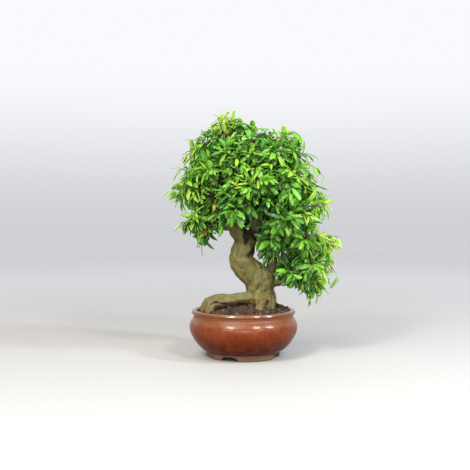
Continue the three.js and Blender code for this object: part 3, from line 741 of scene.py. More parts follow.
def bark_material(wood):
    """Olive bark, mottled with lichen, rust and grime, with painted shade in its creases, paler ridges that
    are partly rubbed bark and partly painted highlight, and redder on young limbs.
    """
    nodes = Nodes("old_bark")
    place = nodes.place()
    relief_wear_and_shade, age = nodes.number("wood_relief"), nodes.number("wood_age")
    streaks = nodes.noise(nodes.stretched(place, (1, 1, 0.3)), 330, 4, 0.65)
    grit = nodes.noise(place, 1100, 3, 0.65)
    body = nodes.mix(nodes.span(nodes.noise(place, 38, 4, 0.6), 0.32, 0.68), wood.bark, BARK_OLIVE)
    for shift, scale, low, high, most, patch in BARK_PATCHES:
        spots = nodes.noise(nodes.stretched(place, (1, 1, 0.8), shift), scale, 4, 0.68)
        body = nodes.mix(nodes.span(spots, low, high, 0, most), body, patch)
    body = nodes.layers(
        body,
        (nodes.span(streaks, 0.50, 0.74, 0, 0.35), wood.bark_pale_and_ridge_highlight),
        (nodes.span(streaks, 0.42, 0.28, 0, 0.5), wood.bark_dark_and_crease_shade),
        (nodes.rise(nodes.height(place), FOOT_LEVELS, 0, 0.50), BARK_FOOT),
        (nodes.span(age, 0.15, 0.9, 0, 0.9), wood.bark_young),
        # Ridges paler, partly rubbed bark and partly painted highlight; creases darker with painted shade.
        (nodes.span(relief_wear_and_shade, 0.3, 2.0, 0, 0.4), wood.bark_pale_and_ridge_highlight),
        (nodes.span(relief_wear_and_shade, -0.4, -2.9, 0, 0.88), wood.bark_dark_and_crease_shade),
        (nodes.span(grit, 0.60, 0.74, 0, 0.45), wood.bark_dark_and_crease_shade),
    )
    skin = nodes.bump(streaks, 0.5, 0.0018)
    skin = nodes.bump(grit, 0.45, 0.0008, Normal=skin)
    return nodes.finish(Base_Color=body, Roughness=nodes.span(streaks, 0.3, 0.7, 0.55, 0.78), Normal=skin)


class BONSAI_OT_make_wood(bpy.types.Operator):
    """Carves the trunk, roots and limbs from their solid"""

    bl_idname = "bonsai.make_wood"
    bl_label = "Trunk, roots and limbs"

    def execute(self, context):
        wood = context.scene.bonsai_wood
        mesh = self.remeshed(context, wood.voxel)
        edges = np.array([edge.vertices[:] for edge in mesh.edges])
        corners = smoothed(np.array([corner.co for corner in mesh.vertices]), edges, SMOOTH_FIRST)
        relief = self.relief(corners, wood)
        self.move_corners(mesh, corners)
        normals = np.empty(len(corners) * 3, np.float32)
        mesh.vertex_normals.foreach_get("vector", normals)
        corners = corners + normals.reshape(-1, 3) * relief[:, None] * MM
        corners = smoothed(corners, edges, SMOOTH_LAST)
        self.move_corners(mesh, corners)
        mesh.materials.clear()
        mesh.materials.append(bark_material(wood))
        mesh.polygons.foreach_set("use_smooth", [True] * len(mesh.polygons))
        # The relief is kept for the bark, which paints shade in the creases and a highlight on the ridges.
        give_numbers(mesh, "wood_relief", relief)
        give_numbers(mesh, "wood_age", self.age(corners))
        mounted(bpy.data.objects.new("old_wood", mesh), ["trunk"])
        return {"FINISHED"}

    @staticmethod
    def remeshed(context, voxel):
        """The wood's solid as a mesh of small even faces."""
        corners, faces = welded("trunk")
        rough = bpy.data.meshes.new("rough_wood")
        rough.from_pydata(corners.tolist(), [], faces.tolist())
        block = bpy.data.objects.new("rough_wood", rough)
        context.scene.collection.objects.link(block)
        grid = block.modifiers.new("grid", "REMESH")
        grid.mode = "VOXEL"
        grid.voxel_size = voxel
        mesh = bpy.data.meshes.new_from_object(block.evaluated_get(context.evaluated_depsgraph_get()))
        bpy.data.objects.remove(block)
        mesh.name = "old_wood"
        return mesh

    @staticmethod
    def move_corners(mesh, corners):
        mesh.vertices.foreach_set("co", corners.ravel())
        mesh.update()

    def relief(self, corners, wood):
        """How far each corner stands proud of the smooth wood, in millimetres."""
        hull = wood_tree()
        relief = np.zeros(len(corners))
        for side, width, depth, places in CARVINGS:
            line = [self.on_wood(hull, side, x, z) for x, z in places]
            line = np.array([place for place in line if place is not None])
            if len(line) > 1:
                away = distance_to_line(corners, smooth_profile(line, 4)) / (width * MM)
                relief -= wood.crease * depth * np.exp(-away**2)
        for side, width, x, z in KNOTS:
            middle = self.on_wood(hull, side, x, z)
            if middle is not None:
                away = distances(corners, middle) / (width * MM)
                relief += KNOT_RING * np.exp(-(away - 1) ** 2 / 0.12) - KNOT_HOLE * np.exp(-away**2 / 0.35)
        # Thin limbs high up stay smoother, and only the foot of the wood is knobbly, mostly on the right.
        thick = ramp(corners[:, 2], 0.235, -0.03, least=0.25)
        low = ramp(corners[:, 2], 0.116, -0.014) * ramp(corners[:, 0] - AXIS_X, 0, 0.02, least=0.25)
        for i, place in enumerate(corners):
            place = Vector(place)
            folds = noise.fractal(place * FOLDS[0], 1.0, 2.0, 3)
            lumps = noise.noise(place * LUMPS[0] + Vector((5, 1, 2)))
            knobs = noise.fractal(place * KNOBS[0] + Vector((9, 4, 7)), 0.9, 2.0, 3) * low[i]
            relief[i] += (FOLDS[1] * folds + LUMPS[1] * lumps) * thick[i] + KNOBS[1] * knobs
        return relief

    @staticmethod
    def on_wood(hull, side, x, z):
        """The wood's surface as met from the front or the back at a place across and up, or None."""
        hit = hull.ray_cast(at(x, side * 150, z), Vector((0, -side, 0)))[0]
        return None if hit is None else np.array(hit)

    @staticmethod
    def age(corners):
        """0 on old bark and 1 on the youngest limbs, by how high and how far out to the right the wood is."""
        across, level = corners[:, 0] - AXIS_X, corners[:, 2]
        high = ramp(level, 0.192, 0.10)
        out = ramp(across, 0.050, 0.02) * (level > 0.12)
        side_stem = ramp(across, 0.036, 0.012) * ramp(level, 0.136, 0.03, most=0.62)
        return np.maximum(np.maximum(high, out), side_stem)


# ------------------------------------------------------------------ leaves and twigs

# Half the width of a leaf, as a share of the full half, at shares of its length.
LEAF_ROWS = np.array([0.0, 0.07, 0.19, 0.36, 0.55, 0.74, 0.89])
LEAF_HALF = np.array([0.055, 0.08, 0.57, 0.92, 1.0, 0.86, 0.52])
# Shares of the half width at which a leaf has corners.
ACROSS = np.array([-1.0, -0.5, 0.0, 0.5, 1.0])
# How far leaves differ: sideways bend as a share of the length, twist in radians, fold and wave, and curl
# in radians, the last from least to most, as the fold is.
LEAF_SWAY, LEAF_TWIST, LEAF_FOLD, LEAF_WAVE, LEAF_CURL = 0.05, 0.22, (0.08, 0.42), 0.10, (0.25, 1.3)
# How far a leaf's wave goes on from its base to its tip, in radians.
WAVE_TURN = 9
# A leaf's section: how far it arches, how far its edges turn down and how far its keel stands out below, as
# shares of the half width, and how thick it is at the least, in metres.
LEAF_ARCH, LEAF_EDGE, LEAF_KEEL, LEAF_THICK = 0.13, 0.16, 0.05, 0.00018
GOLDEN_TURN = 2.39996
TWIG_SIDES = 6

# Colours of leaves and twigs, number and slant of the side veins, and how much of a leaf's light comes
# through it.
LEAF_RUST = (0.80, 0.38, 0.12)
LEAF_RIB = (0.30, 0.46, 0.08)
LEAF_STALK = (0.28, 0.10, 0.03)
UNDERSIDE_OLD_AND_SHADED = (0.060, 0.300, 0.025)
UNDERSIDE_NEW = (0.36, 0.62, 0.07)
UNDERSIDE_RIB = (0.34, 0.50, 0.12)
TWIG_RED = (0.13, 0.060, 0.028)
TWIG_PALE = (0.21, 0.14, 0.07)
VEINS, VEIN_SLANT, LEAF_LIT_THROUGH = 11.0, -2.6, 0.36

# A solid blade: the corners of a loop, and in metres what the short sides of its last loop stay under and
# the long ones over. A solid stem's end is the corners this near to its furthest one.
BLADE_SIDES, BLADE_THIN, BLADE_WIDE, STEM_END = 4, 0.9 * MM, 3 * MM, 4 * MM
# The leaf in a solid blade's place: its length and width beside the blade's length, and how much newer it
# is.
BLADE_LENGTH, BLADE_WIDTH, BLADE_YOUNG = 0.87, 0.27, 0.10

SHOOT_SEED = 1000
CROWN_SEED = 5
# How many places for twig ends are tried, how deep in another pad one may be (1 is the pad's outside), and
# how far inside the crown's line it is, in metres.
CROWN_DRAWS, PAD_CORE, LINE_MARGIN = 16000, 0.70, 0.008

# A leaf's age from 0 to 1, which also paints shade: leaves in the crown's middle are darker, partly as older
# leaves and partly as
# painted shade. The numbers: in the crown's middle, how much newer on its outside, and the newest.
INNER_TONE, OUTER_TONE, NEWEST_TONE = 0.06, 0.29, 0.95
# How far the ages of leaves and of twigs differ, and how much newer a spray is.
LEAF_MOOD, TWIG_MOOD, SPRAY_MOOD = 0.15, 0.13, 0.10
# Rusty leaves have a tone past 1, are smaller than this and this rare. The newest leaves are this much
# slimmer.
RUSTY_TONE, RUSTY_SIZE, RUSTY_SHARE, NEW_SLIMMER = 1.15, 0.75, 0.03, 0.35
# How many ways a leaf is turned before it is left off.
LEAF_TRIES = 3

# In metres: how far a stem starts inside the limb, the radii of a stem and of a spray from start to end,
# the least radius of a twig at its start and the one at its end, and the length of a side twig.
STEM_SUNK, STEM_RADII, SPRAY_RADII = 0.004, (0.0015, 0.00075), (0.00095, 0.0004)
TWIG_THIN, TWIG_TIP, SIDE_TWIG = 0.00055, 0.00042, (0.012, 0.024)
# Pairs of leaves along a twig, in metres: the first one from its end, the gap between two and how far back
# they go, the share of leaves that are there, and the gap between a spray's single leaves with the turn
# between them.
PAIR_FIRST, PAIR_GAP, PAIRS_REACH, PAIR_KEPT = 0.006, (0.009, 0.012), 0.034, 0.9
SPRAY_GAP, SPRAY_TURN = 0.0075, 2.6
# Least and most lean from the twig, in radians, and least and most size of leaves in pairs, on sprays and
# in the bunch round a twig's end, and the lean of a side twig.
PAIR_LEAN, PAIR_SIZE = (0.8, 1.25), (0.82, 1.15)
SPRAY_LEAN, SPRAY_SIZE = (0.6, 1.1), (0.8, 1.1)
BUNCH_LEAN, BUNCH_SIZE = (0.35, 0.9), (0.62, 1.0)
SIDE_LEAN = (0.7, 1.15)

# Where the newest growth is, and where the wide spots on the crown's shaded left flank paint light on the
# leaves: place in millimetres from the pot's foot, reach and strength.
NEW_GROWTH_AND_LIGHT = [
    ((-32, -16, 440), 28, 0.76), ((146, -14, 288), 34, 0.46), ((166, 0, 204), 30, 0.66),
    ((-118, 0, 292), 22, 0.56), ((150, 0, 140), 30, 0.06), ((68, -20, 412), 24, 0.34),
    ((-4, -70, 318), 20, 0.46), ((66, -40, 345), 24, 0.34), ((-98, 0, 366), 22, 0.48),
    ((-66, -40, 306), 18, 0.38), ((60, -60, 238), 20, 0.32), ((112, -30, 322), 26, 0.34),
    ((20, 0, 422), 18, 0.30), ((92, -36, 214), 20, 0.16), ((30, 70, 340), 34, 0.24),
    ((-60, 60, 300), 26, 0.20), ((10, -66, 372), 14, 0.36), ((-84, -36, 322), 46, 0.24),
    ((-88, -24, 240), 28, 0.02), ((136, -24, 250), 24, 0.28),
]

# Where leaves are painted darker as shade inside and under the crown, in the same terms.
PAINTED_SHADE_SPOTS = [
    ((-12, -52, 262), 34, 0.24), ((46, -50, 252), 38, 0.34), ((106, -34, 156), 46, 0.34),
    ((82, -34, 166), 24, 0.20), ((-52, -40, 268), 24, 0.14), ((-84, -24, 232), 30, 0.16),
    ((16, -28, 258), 26, 0.40), ((6, 10, 242), 18, 0.50), ((40, -24, 180), 20, 0.30),
    ((78, -30, 134), 24, 0.16),
]

# Long young shoots that arch or hang out of the crown, in millimetres from the pot's foot.
SPRAYS = [
    [(92, -22, 332), (112, -20, 346), (130, -16, 340), (146, -12, 322)],
    [(86, -26, 300), (104, -24, 313), (120, -22, 308), (128, -20, 294)],
    [(122, -8, 262), (140, -10, 282), (149, -10, 292)],
    [(-104, -6, 300), (-119, -8, 308), (-130, -10, 302)],
    [(-84, -6, 362), (-98, -8, 371), (-110, -8, 364)],
    [(-58, -8, 398), (-72, -8, 400), (-88, -8, 392)],
    [(94, -24, 146), (104, -26, 138), (112, -26, 124), (116, -26, 110)],
    [(122, -12, 146), (132, -12, 138), (138, -12, 122), (140, -12, 112)],
    [(146, -6, 172), (158, -6, 164), (168, -6, 148), (172, -6, 136)],
    [(150, -4, 212), (164, -4, 218), (176, -4, 214)],
    [(74, -6, 398), (90, -8, 406), (104, -8, 396), (108, -8, 384)],
    [(-92, -14, 246), (-104, -14, 244), (-116, -16, 232)],
    [(-72, -18, 232), (-78, -20, 220), (-80, -20, 208)],
    [(40, -30, 222), (46, -34, 206), (52, -34, 190)],
    [(-34, -26, 252), (-37, -30, 240), (-39, -32, 229)],
    [(-24, -30, 256), (-27, -36, 246), (-28, -38, 238)],
    [(52, -28, 196), (62, -32, 184), (64, -32, 170)],
    [(-35, -32, 398), (-29, -28, 412), (-28, -24, 424), (-34, -20, 433)],
    [(-30, -3, 418), (-26, -4, 426), (-20, -5, 431)],
    [(-28, -3, 420), (-16, -4, 427), (-6, -5, 430)],
    [(20, 60, 380), (26, 78, 384), (34, 92, 370)],
    [(-50, 60, 330), (-62, 76, 332), (-70, 88, 316)],
    [(110, 50, 220), (122, 64, 214), (128, 72, 196)],
]

# Single tufts beside the neck, by the apex and along the lower right, in millimetres from the pot's foot.
TUFTS = [
    (-36, -27, 231), (-47, -25, 233), (-58, -21, 230), (-30, -32, 244), (6, 16, 241), (15, 22, 246),
    (24, 20, 236), (-11, -10, 425), (-2, -14, 418), (158, -6, 205), (154, -8, 184), (113, -20, 107),
    (136, -12, 114), (36, -20, 187), (42, -26, 180), (2, 12, 238), (9, 8, 242), (72, -12, 186),
    (67, -8, 178), (74, -16, 170), (1, 4, 246), (8, 24, 240),
]

# The crown's rounded pads: the middle and the reach each way, in millimetres from the pot's foot.
PADS = [
    ((-28, 0, 385), (54, 46, 48)), ((66, 0, 362), (42, 46, 44)), ((104, 2, 272), (42, 44, 38)),
    ((112, -4, 158), (46, 38, 42)), ((-80, -7, 240), (32, 26, 24)), ((-84, 0, 300), (40, 42, 40)),
    ((-68, 4, 346), (42, 44, 42)), ((8, -36, 342), (52, 36, 44)), ((0, 48, 342), (52, 36, 44)),
    ((-6, -40, 290), (50, 36, 38)), ((52, 50, 298), (48, 36, 40)), ((92, -2, 316), (36, 44, 34)),
    ((70, -28, 244), (44, 36, 40)), ((124, -2, 208), (38, 42, 34)), ((86, 44, 238), (44, 34, 42)),
    ((-48, 46, 296), (46, 36, 40)), ((22, -4, 380), (46, 42, 34)), ((46, -46, 300), (46, 32, 40)),
    ((44, -18, 208), (20, 18, 20)), ((-44, -10, 240), (16, 14, 14)), ((14, 16, 250), (24, 22, 22)),
]

# The line that the crown is trimmed to, across and up from the pot's foot in millimetres, seen from the
# front.
CROWN_LINE = np.array([
    (-48, 434), (-36, 447), (-24, 444), (-10, 438), (4, 424), (16, 414), (34, 408), (46, 414), (62, 418),
    (74, 418), (92, 406), (106, 388), (106, 350), (122, 344), (132, 328), (137, 312), (149, 302),
    (156, 291), (155, 270), (153, 254), (145, 240), (142, 228), (150, 219), (164, 222), (176, 206),
    (180, 196), (172, 184), (164, 164), (168, 150), (163, 130), (152, 119), (143, 112), (132, 106),
    (122, 90), (112, 94), (106, 104), (100, 117), (84, 122), (63, 120), (52, 147), (38, 152), (25, 164),
    (23, 190), (8, 232), (-32, 232), (-38, 219), (-49, 221), (-60, 210), (-72, 196), (-85, 211), (-97, 222),
    (-113, 218), (-121, 238), (-108, 246), (-85, 256), (-100, 262), (-104, 275), (-118, 276), (-142, 268),
    (-136, 298), (-126, 310), (-112, 316), (-110, 328), (-103, 342), (-100, 354), (-100, 376), (-84, 386),
    (-88, 394), (-69, 411), (-51, 430),
], float)
# Leaves keep this far from the pot's axis where they hang as low as its rim, in millimetres.
RIM_CLEARANCE = 102
RIM_TOP = 97
# How far the leaves of the long young shoots may pass the crown's line, in metres.
SPRAY_SLACK = 0.011
# Where the crown is open: place in millimetres from the pot's foot, reach and share of leaves left out.
OPENINGS = [
    ((144, -8, 146), 34, 0.50), ((118, -10, 128), 26, 0.35), ((122, -6, 322), 24, 0.45),
    ((132, -8, 240), 18, 0.35), ((-104, -8, 262), 16, 0.45), ((54, -16, 178), 20, 0.70),
    ((-14, -28, 246), 15, 0.85), ((-88, -12, 278), 16, 0.82), ((-70, -22, 268), 13, 0.70),
    ((-84, 14, 270), 18, 0.70), ((96, -20, 350), 10, 0.60), ((107, -14, 172), 12, 0.55),
    ((135, -10, 212), 10, 0.55), ((110, -20, 232), 9, 0.50), ((42, -44, 250), 20, 0.45),
    ((77, -22, 140), 15, 0.85), ((22, -36, 252), 16, 0.55), ((127, -6, 165), 18, 0.74),
    ((122, 16, 156), 16, 0.65),
]


def in_crown(place):
    """Whether a place shows inside the crown's line from the front and is clear of the pot's rim."""
    x, y, z = (np.asarray(place) - np.array(at(0, 0, 0))) / MM
    if z < RIM_TOP and math.hypot(x, y) < RIM_CLEARANCE:
        return False
    nearer = CAMERA_AWAY / (CAMERA_AWAY + y)
    across = (x + CAMERA_LEFT) * nearer - CAMERA_LEFT
    up = (z - CAMERA_HEIGHT) * nearer + CAMERA_HEIGHT
    before, after = CROWN_LINE, np.roll(CROWN_LINE, -1, 0)
    spans = (before[:, 1] > up) != (after[:, 1] > up)
    step = (after - before)[spans]
    cross = before[spans, 0] + (up - before[spans, 1]) * step[:, 0] / step[:, 1]
    return int((cross > across).sum()) % 2 == 1


def bowed(start, end, bow, many):
    """Points from the start to the end of a twig, whose middle is moved by the bow."""
    t = np.linspace(0, 1, many)[:, None]
    return start + (end - start) * t + 4 * t * (1 - t) * bow


class Leaves:
    """Leaves to be built together: where each starts and points, its size and its tone from 0 to 1, which is
    its age with painted shade and painted light in it.
    """

    def __init__(self):
        self.rows = []

    def add(self, base, along, up, size, width, curl, tone):
        self.rows.append((base, along, up, size, width, curl, tone))

    def column(self, k):
        return np.array([row[k] for row in self.rows], float)

    def corners(self, rng):
        """Each leaf's corners: rows across its top from base to tip, the keel below the rows, and the tip."""
        base, along, up = (self.column(k) for k in range(3))
        size, width, curl = (self.column(k)[:, None] for k in range(3, 6))
        total = len(base)
        along = unit(along)
        up = unit(up - along * (up * along).sum(1, keepdims=True))
        side = np.cross(along, up)
        s = np.append(LEAF_ROWS, 1.0)[None]
        turn = curl * s
        forward = size * np.sin(turn) / curl
        down = -size * (1 - np.cos(turn)) / curl
        sway = size * s**2 * rng.normal(0, LEAF_SWAY, (total, 1))
        spine = (base[:, None] + along[:, None] * forward[..., None] + up[:, None] * down[..., None]
                 + side[:, None] * sway[..., None])
        lift = up[:, None] * np.cos(turn)[..., None] + along[:, None] * np.sin(turn)[..., None]
        roll = rng.normal(0, LEAF_TWIST, (total, 1)) * s
        beam = side[:, None] * np.cos(roll)[..., None] + lift * np.sin(roll)[..., None]
        lift = np.cross(beam, unit(np.cross(lift, beam)))
        half = width / 2 * np.append(LEAF_HALF, 0.0)[None]
        fold = rng.uniform(*LEAF_FOLD, (total, 1))
        wave = rng.normal(0, LEAF_WAVE, (total, 1)) * np.sin(WAVE_TURN * s + rng.uniform(0, 6, (total, 1)))
        v = ACROSS[None, None]
        arch = (fold + wave)[..., None] * np.abs(v) + LEAF_ARCH * np.sin(np.pi * np.abs(v)) - LEAF_EDGE * v**4
        upper = (spine[:, :-1, None] + beam[:, :-1, None] * (v * half[..., None])[:, :-1, :, None]
                 + lift[:, :-1, None] * (arch * half[..., None])[:, :-1, :, None])
        keel = spine[:, :-1] - lift[:, :-1] * (LEAF_KEEL * half[:, :-1, None] + LEAF_THICK)
        return np.concatenate([upper.reshape(total, -1, 3), keel, spine[:, -1:]], 1)

    def build(self, rng):
        """Corners, faces and the numbers that the leaf material reads."""
        corners = self.corners(rng)
        total, each = corners.shape[:2]
        rows, wide = len(LEAF_ROWS), len(ACROSS)
        top, under = self.pattern(rows, wide)
        shift = np.arange(total)[:, None, None] * each
        faces = []
        for kind in (*top, *under):
            faces += (np.array(kind)[None] + shift).reshape(-1, len(kind[0])).tolist()
        lower = np.repeat([False, True], [total * sum(map(len, kinds)) for kinds in (top, under)])
        across = np.concatenate([np.tile(ACROSS, rows), np.zeros(rows + 1)])
        length_way = np.concatenate([np.repeat(LEAF_ROWS, wide), LEAF_ROWS, [1.0]])
        return {
            "corners": corners.reshape(-1, 3), "faces": faces, "under": lower,
            "leaf_across": np.tile(across, total), "leaf_along": np.tile(length_way, total),
            "leaf_tone": np.repeat(self.column(6), each),
        }

    @staticmethod
    def pattern(rows, wide):
        """Faces of one leaf, above and below: quads between its rows, and triangles at its ends."""
        quads, low_quads = [], []
        keel, point = rows * wide, rows * (wide + 1)
        for row in range(rows - 1):
            low, high = row * wide, (row + 1) * wide
            quads += [(low + k, low + k + 1, high + k + 1, high + k) for k in range(wide - 1)]
            low_quads.append((low, high, keel + row + 1, keel + row))
            low_quads.append((keel + row, keel + row + 1, high + wide - 1, low + wide - 1))
        last, end = (rows - 1) * wide, keel + rows - 1
        tip = [(last + k, last + k + 1, point) for k in range(wide - 1)]
        low_tip = [(last, point, end), (end, point, last + wide - 1)]
        low_tip += [(k, keel, k + 1) for k in range(wide - 1)]
        return (quads, tip), (low_quads, low_tip)


class Twigs:
    """Round twigs to be built together, each along its points with a radius at each."""

    def __init__(self):
        self.corners, self.faces, self.start = [], [], 0

    def add(self, points, radii):
        headings = unit(np.gradient(points, axis=0))
        across = np.cross(headings[0], [0.3, 0.2, 0.93])
        angles = ROUND * np.arange(TWIG_SIDES) / TWIG_SIDES
        for point, heading, radius in zip(points, headings, radii):
            across = unit(across - heading * (across @ heading))
            beside = np.cross(heading, across)
            ring = np.outer(np.cos(angles), across) + np.outer(np.sin(angles), beside)
            self.corners.append(point + radius * ring)
        self.faces += tube_faces(len(points), TWIG_SIDES, self.start)
        end = self.start + len(points) * TWIG_SIDES
        self.faces.append(tuple(range(self.start + TWIG_SIDES - 1, self.start - 1, -1)))
        self.faces.append(tuple(range(end - TWIG_SIDES, end)))
        self.start = end


def solid_blades(name):
    """Reads a shoot's solid: each blade's base, direction, upper side and length, and its stem's two ends."""
    corners, faces = welded(name)
    beside = [set() for _ in corners]
    round_corner = [[] for _ in corners]
    for face in faces:
        for k in range(3):
            pair = face[(k + 1) % 3], face[(k + 2) % 3]
            beside[face[k]].update(pair)
            round_corner[face[k]].append(pair)
    blades, used = [], set()
    sines = [math.sin(BLADE_CURL * t) for t in BLADE_LOOPS]
    sags = [1 - math.cos(BLADE_CURL * t) for t in BLADE_LOOPS]
    for tip, ring in enumerate(beside):
        if len(ring) != BLADE_SIDES or len(round_corner[tip]) != BLADE_SIDES:
            continue
        sides = sorted(np.linalg.norm(corners[a] - corners[b]) for a, b in round_corner[tip])
        if not (sides[1] < BLADE_THIN < BLADE_WIDE < sides[2]):
            continue
        first = set().union(*(beside[k] for k in ring)) - ring - {tip}
        root = set().union(*(beside[k] for k in first)) - first - ring
        if len(first) != BLADE_SIDES or len(root) != BLADE_SIDES:
            continue
        base, near, far = (corners[list(loop)].mean(0) for loop in (root, first, ring))
        parts = np.linalg.solve([[sines[0], -sags[0]], [sines[1], -sags[1]]], [near - base, far - base])
        blades.append((base, unit(parts[0]), unit(parts[1]), BLADE_CURL * np.linalg.norm(parts[0])))
        used |= first | ring | {tip}
    bare = corners[[k for k in range(len(corners)) if k not in used]]
    ends = np.array([base for base, *_ in blades])
    start = bare[np.argmax(distances(bare, ends.mean(0)))]
    start = bare[distances(bare, start) < STEM_END].mean(0)
    return blades, start, ends[np.argmax(distances(ends, start))]


def strength_at(place, spots):
    """The strongest of some spots' effects at a place."""
    return max(
        strength * math.exp(-((np.linalg.norm(place - np.array(at(*centre))) / (reach * MM)) ** 2))
        for centre, reach, strength in spots
    )


def leaf_material(foliage):
    """Glossy leaf, from old blue-green, which is also the painted shade in the crown, to new yellow-green and
    rusty, veined, with some light through it.
    """
    nodes = Nodes("glossy_leaf")
    tone, along, across = (nodes.number(name) for name in ("leaf_tone", "leaf_along", "leaf_across"))
    off = nodes.maths("ABSOLUTE", across)
    slant = nodes.times_plus(off, VEIN_SLANT, nodes.times(along, VEINS))
    veins = nodes.maths("SINE", nodes.times(slant, ROUND))
    rib = nodes.times(nodes.span(off, 0.14, 0.03), nodes.span(along, 1.0, 0.75))
    blotch = nodes.noise(nodes.place(), 240, 2, 0.5)
    body = nodes.layers(
        foliage.deep,
        (nodes.span(tone, 0.05, 0.42), foliage.mid),
        (nodes.span(tone, 0.40, 0.82), foliage.light),
        (nodes.span(tone, 0.78, 1.00), foliage.new),
        (nodes.span(tone, 1.02, 1.16, 0, 0.8), LEAF_RUST),
        (nodes.times(nodes.span(veins, 0.72, 1.0, 0, 0.20), nodes.span(off, 0.9, 0.6)), foliage.light),
        (nodes.times(rib, 0.5), LEAF_RIB),
        (nodes.span(along, 0.10, 0.0, 0, 0.8), LEAF_STALK),
        (nodes.span(blotch, 0.4, 0.75, 0, 0.3), foliage.deep),
    )
    skin = nodes.bump(nodes.times_plus(rib, -1.6, nodes.times(veins, -0.18)), 0.35, 0.0006)
    rough = nodes.span(blotch, 0.3, 0.7, 0.17, 0.32)
    gloss = nodes.add("ShaderNodeBsdfPrincipled", Base_Color=body, Roughness=rough, Normal=skin, IOR=1.50)
    glow = nodes.add("ShaderNodeBsdfTranslucent", Color=nodes.mix(0.55, body, foliage.new), Normal=skin)
    both = (LEAF_LIT_THROUGH, gloss.outputs[0], glow.outputs[0])
    return nodes.shown(nodes.in_order("ShaderNodeMixShader", both))


def underside_material():
    """The duller, paler underside of a leaf, with its rib."""
    nodes = Nodes("leaf_underside")
    off = nodes.maths("ABSOLUTE", nodes.number("leaf_across"))
    # The underside's tone carries the same painted shade as the top.
    body = nodes.mix(nodes.span(nodes.number("leaf_tone"), 0.1, 0.9), UNDERSIDE_OLD_AND_SHADED, UNDERSIDE_NEW)
    body = nodes.mix(nodes.span(off, 0.25, 0.02, 0, 0.5), body, UNDERSIDE_RIB)
    grain = nodes.noise(nodes.place(), 900, 2, 0.5)
    return nodes.finish(Base_Color=body, Roughness=0.55, Normal=nodes.bump(grain, 0.1, 0.0004))


def twig_material(wood):
    """Smooth red-brown bark with a pale grain."""
    nodes = Nodes("young_twig")
    place = nodes.place()
    grain = nodes.noise(nodes.stretched(place, (1, 1, 0.4)), 1200, 3, 0.6)
    cloud = nodes.noise(place, 120, 2, 0.5)
    body = nodes.mix(nodes.span(cloud, 0.35, 0.65), wood.bark_young, TWIG_RED)
    body = nodes.mix(nodes.span(grain, 0.55, 0.75, 0, 0.5), body, TWIG_PALE)
    return nodes.finish(Base_Color=body, Roughness=0.62, Normal=nodes.bump(grain, 0.4, 0.0004))


def crown_places(spacing):
    """Places for twig ends all over the crown's outside, none closer together than the spacing."""
    rng = np.random.default_rng(CROWN_SEED)
    centres = np.array([at(*centre) for centre, _ in PADS])
    reaches = np.array([reach for _, reach in PADS]) * MM
    places = []
    for draw in range(CROWN_DRAWS):
        pad = draw % len(PADS)
        place = centres[pad] + reaches[pad] * unit(rng.normal(size=3)) * rng.uniform(0.58, 0.90)
        depth = np.linalg.norm((place - centres) / reaches, axis=1)
        depth[pad] = 1
        if depth.min() < PAD_CORE or not in_crown(place + LINE_MARGIN * unit(place - CROWN_CENTRE)):
            continue
        if not places or distances(np.array(places), place).min() >= spacing:
            places.append(place)
    return places


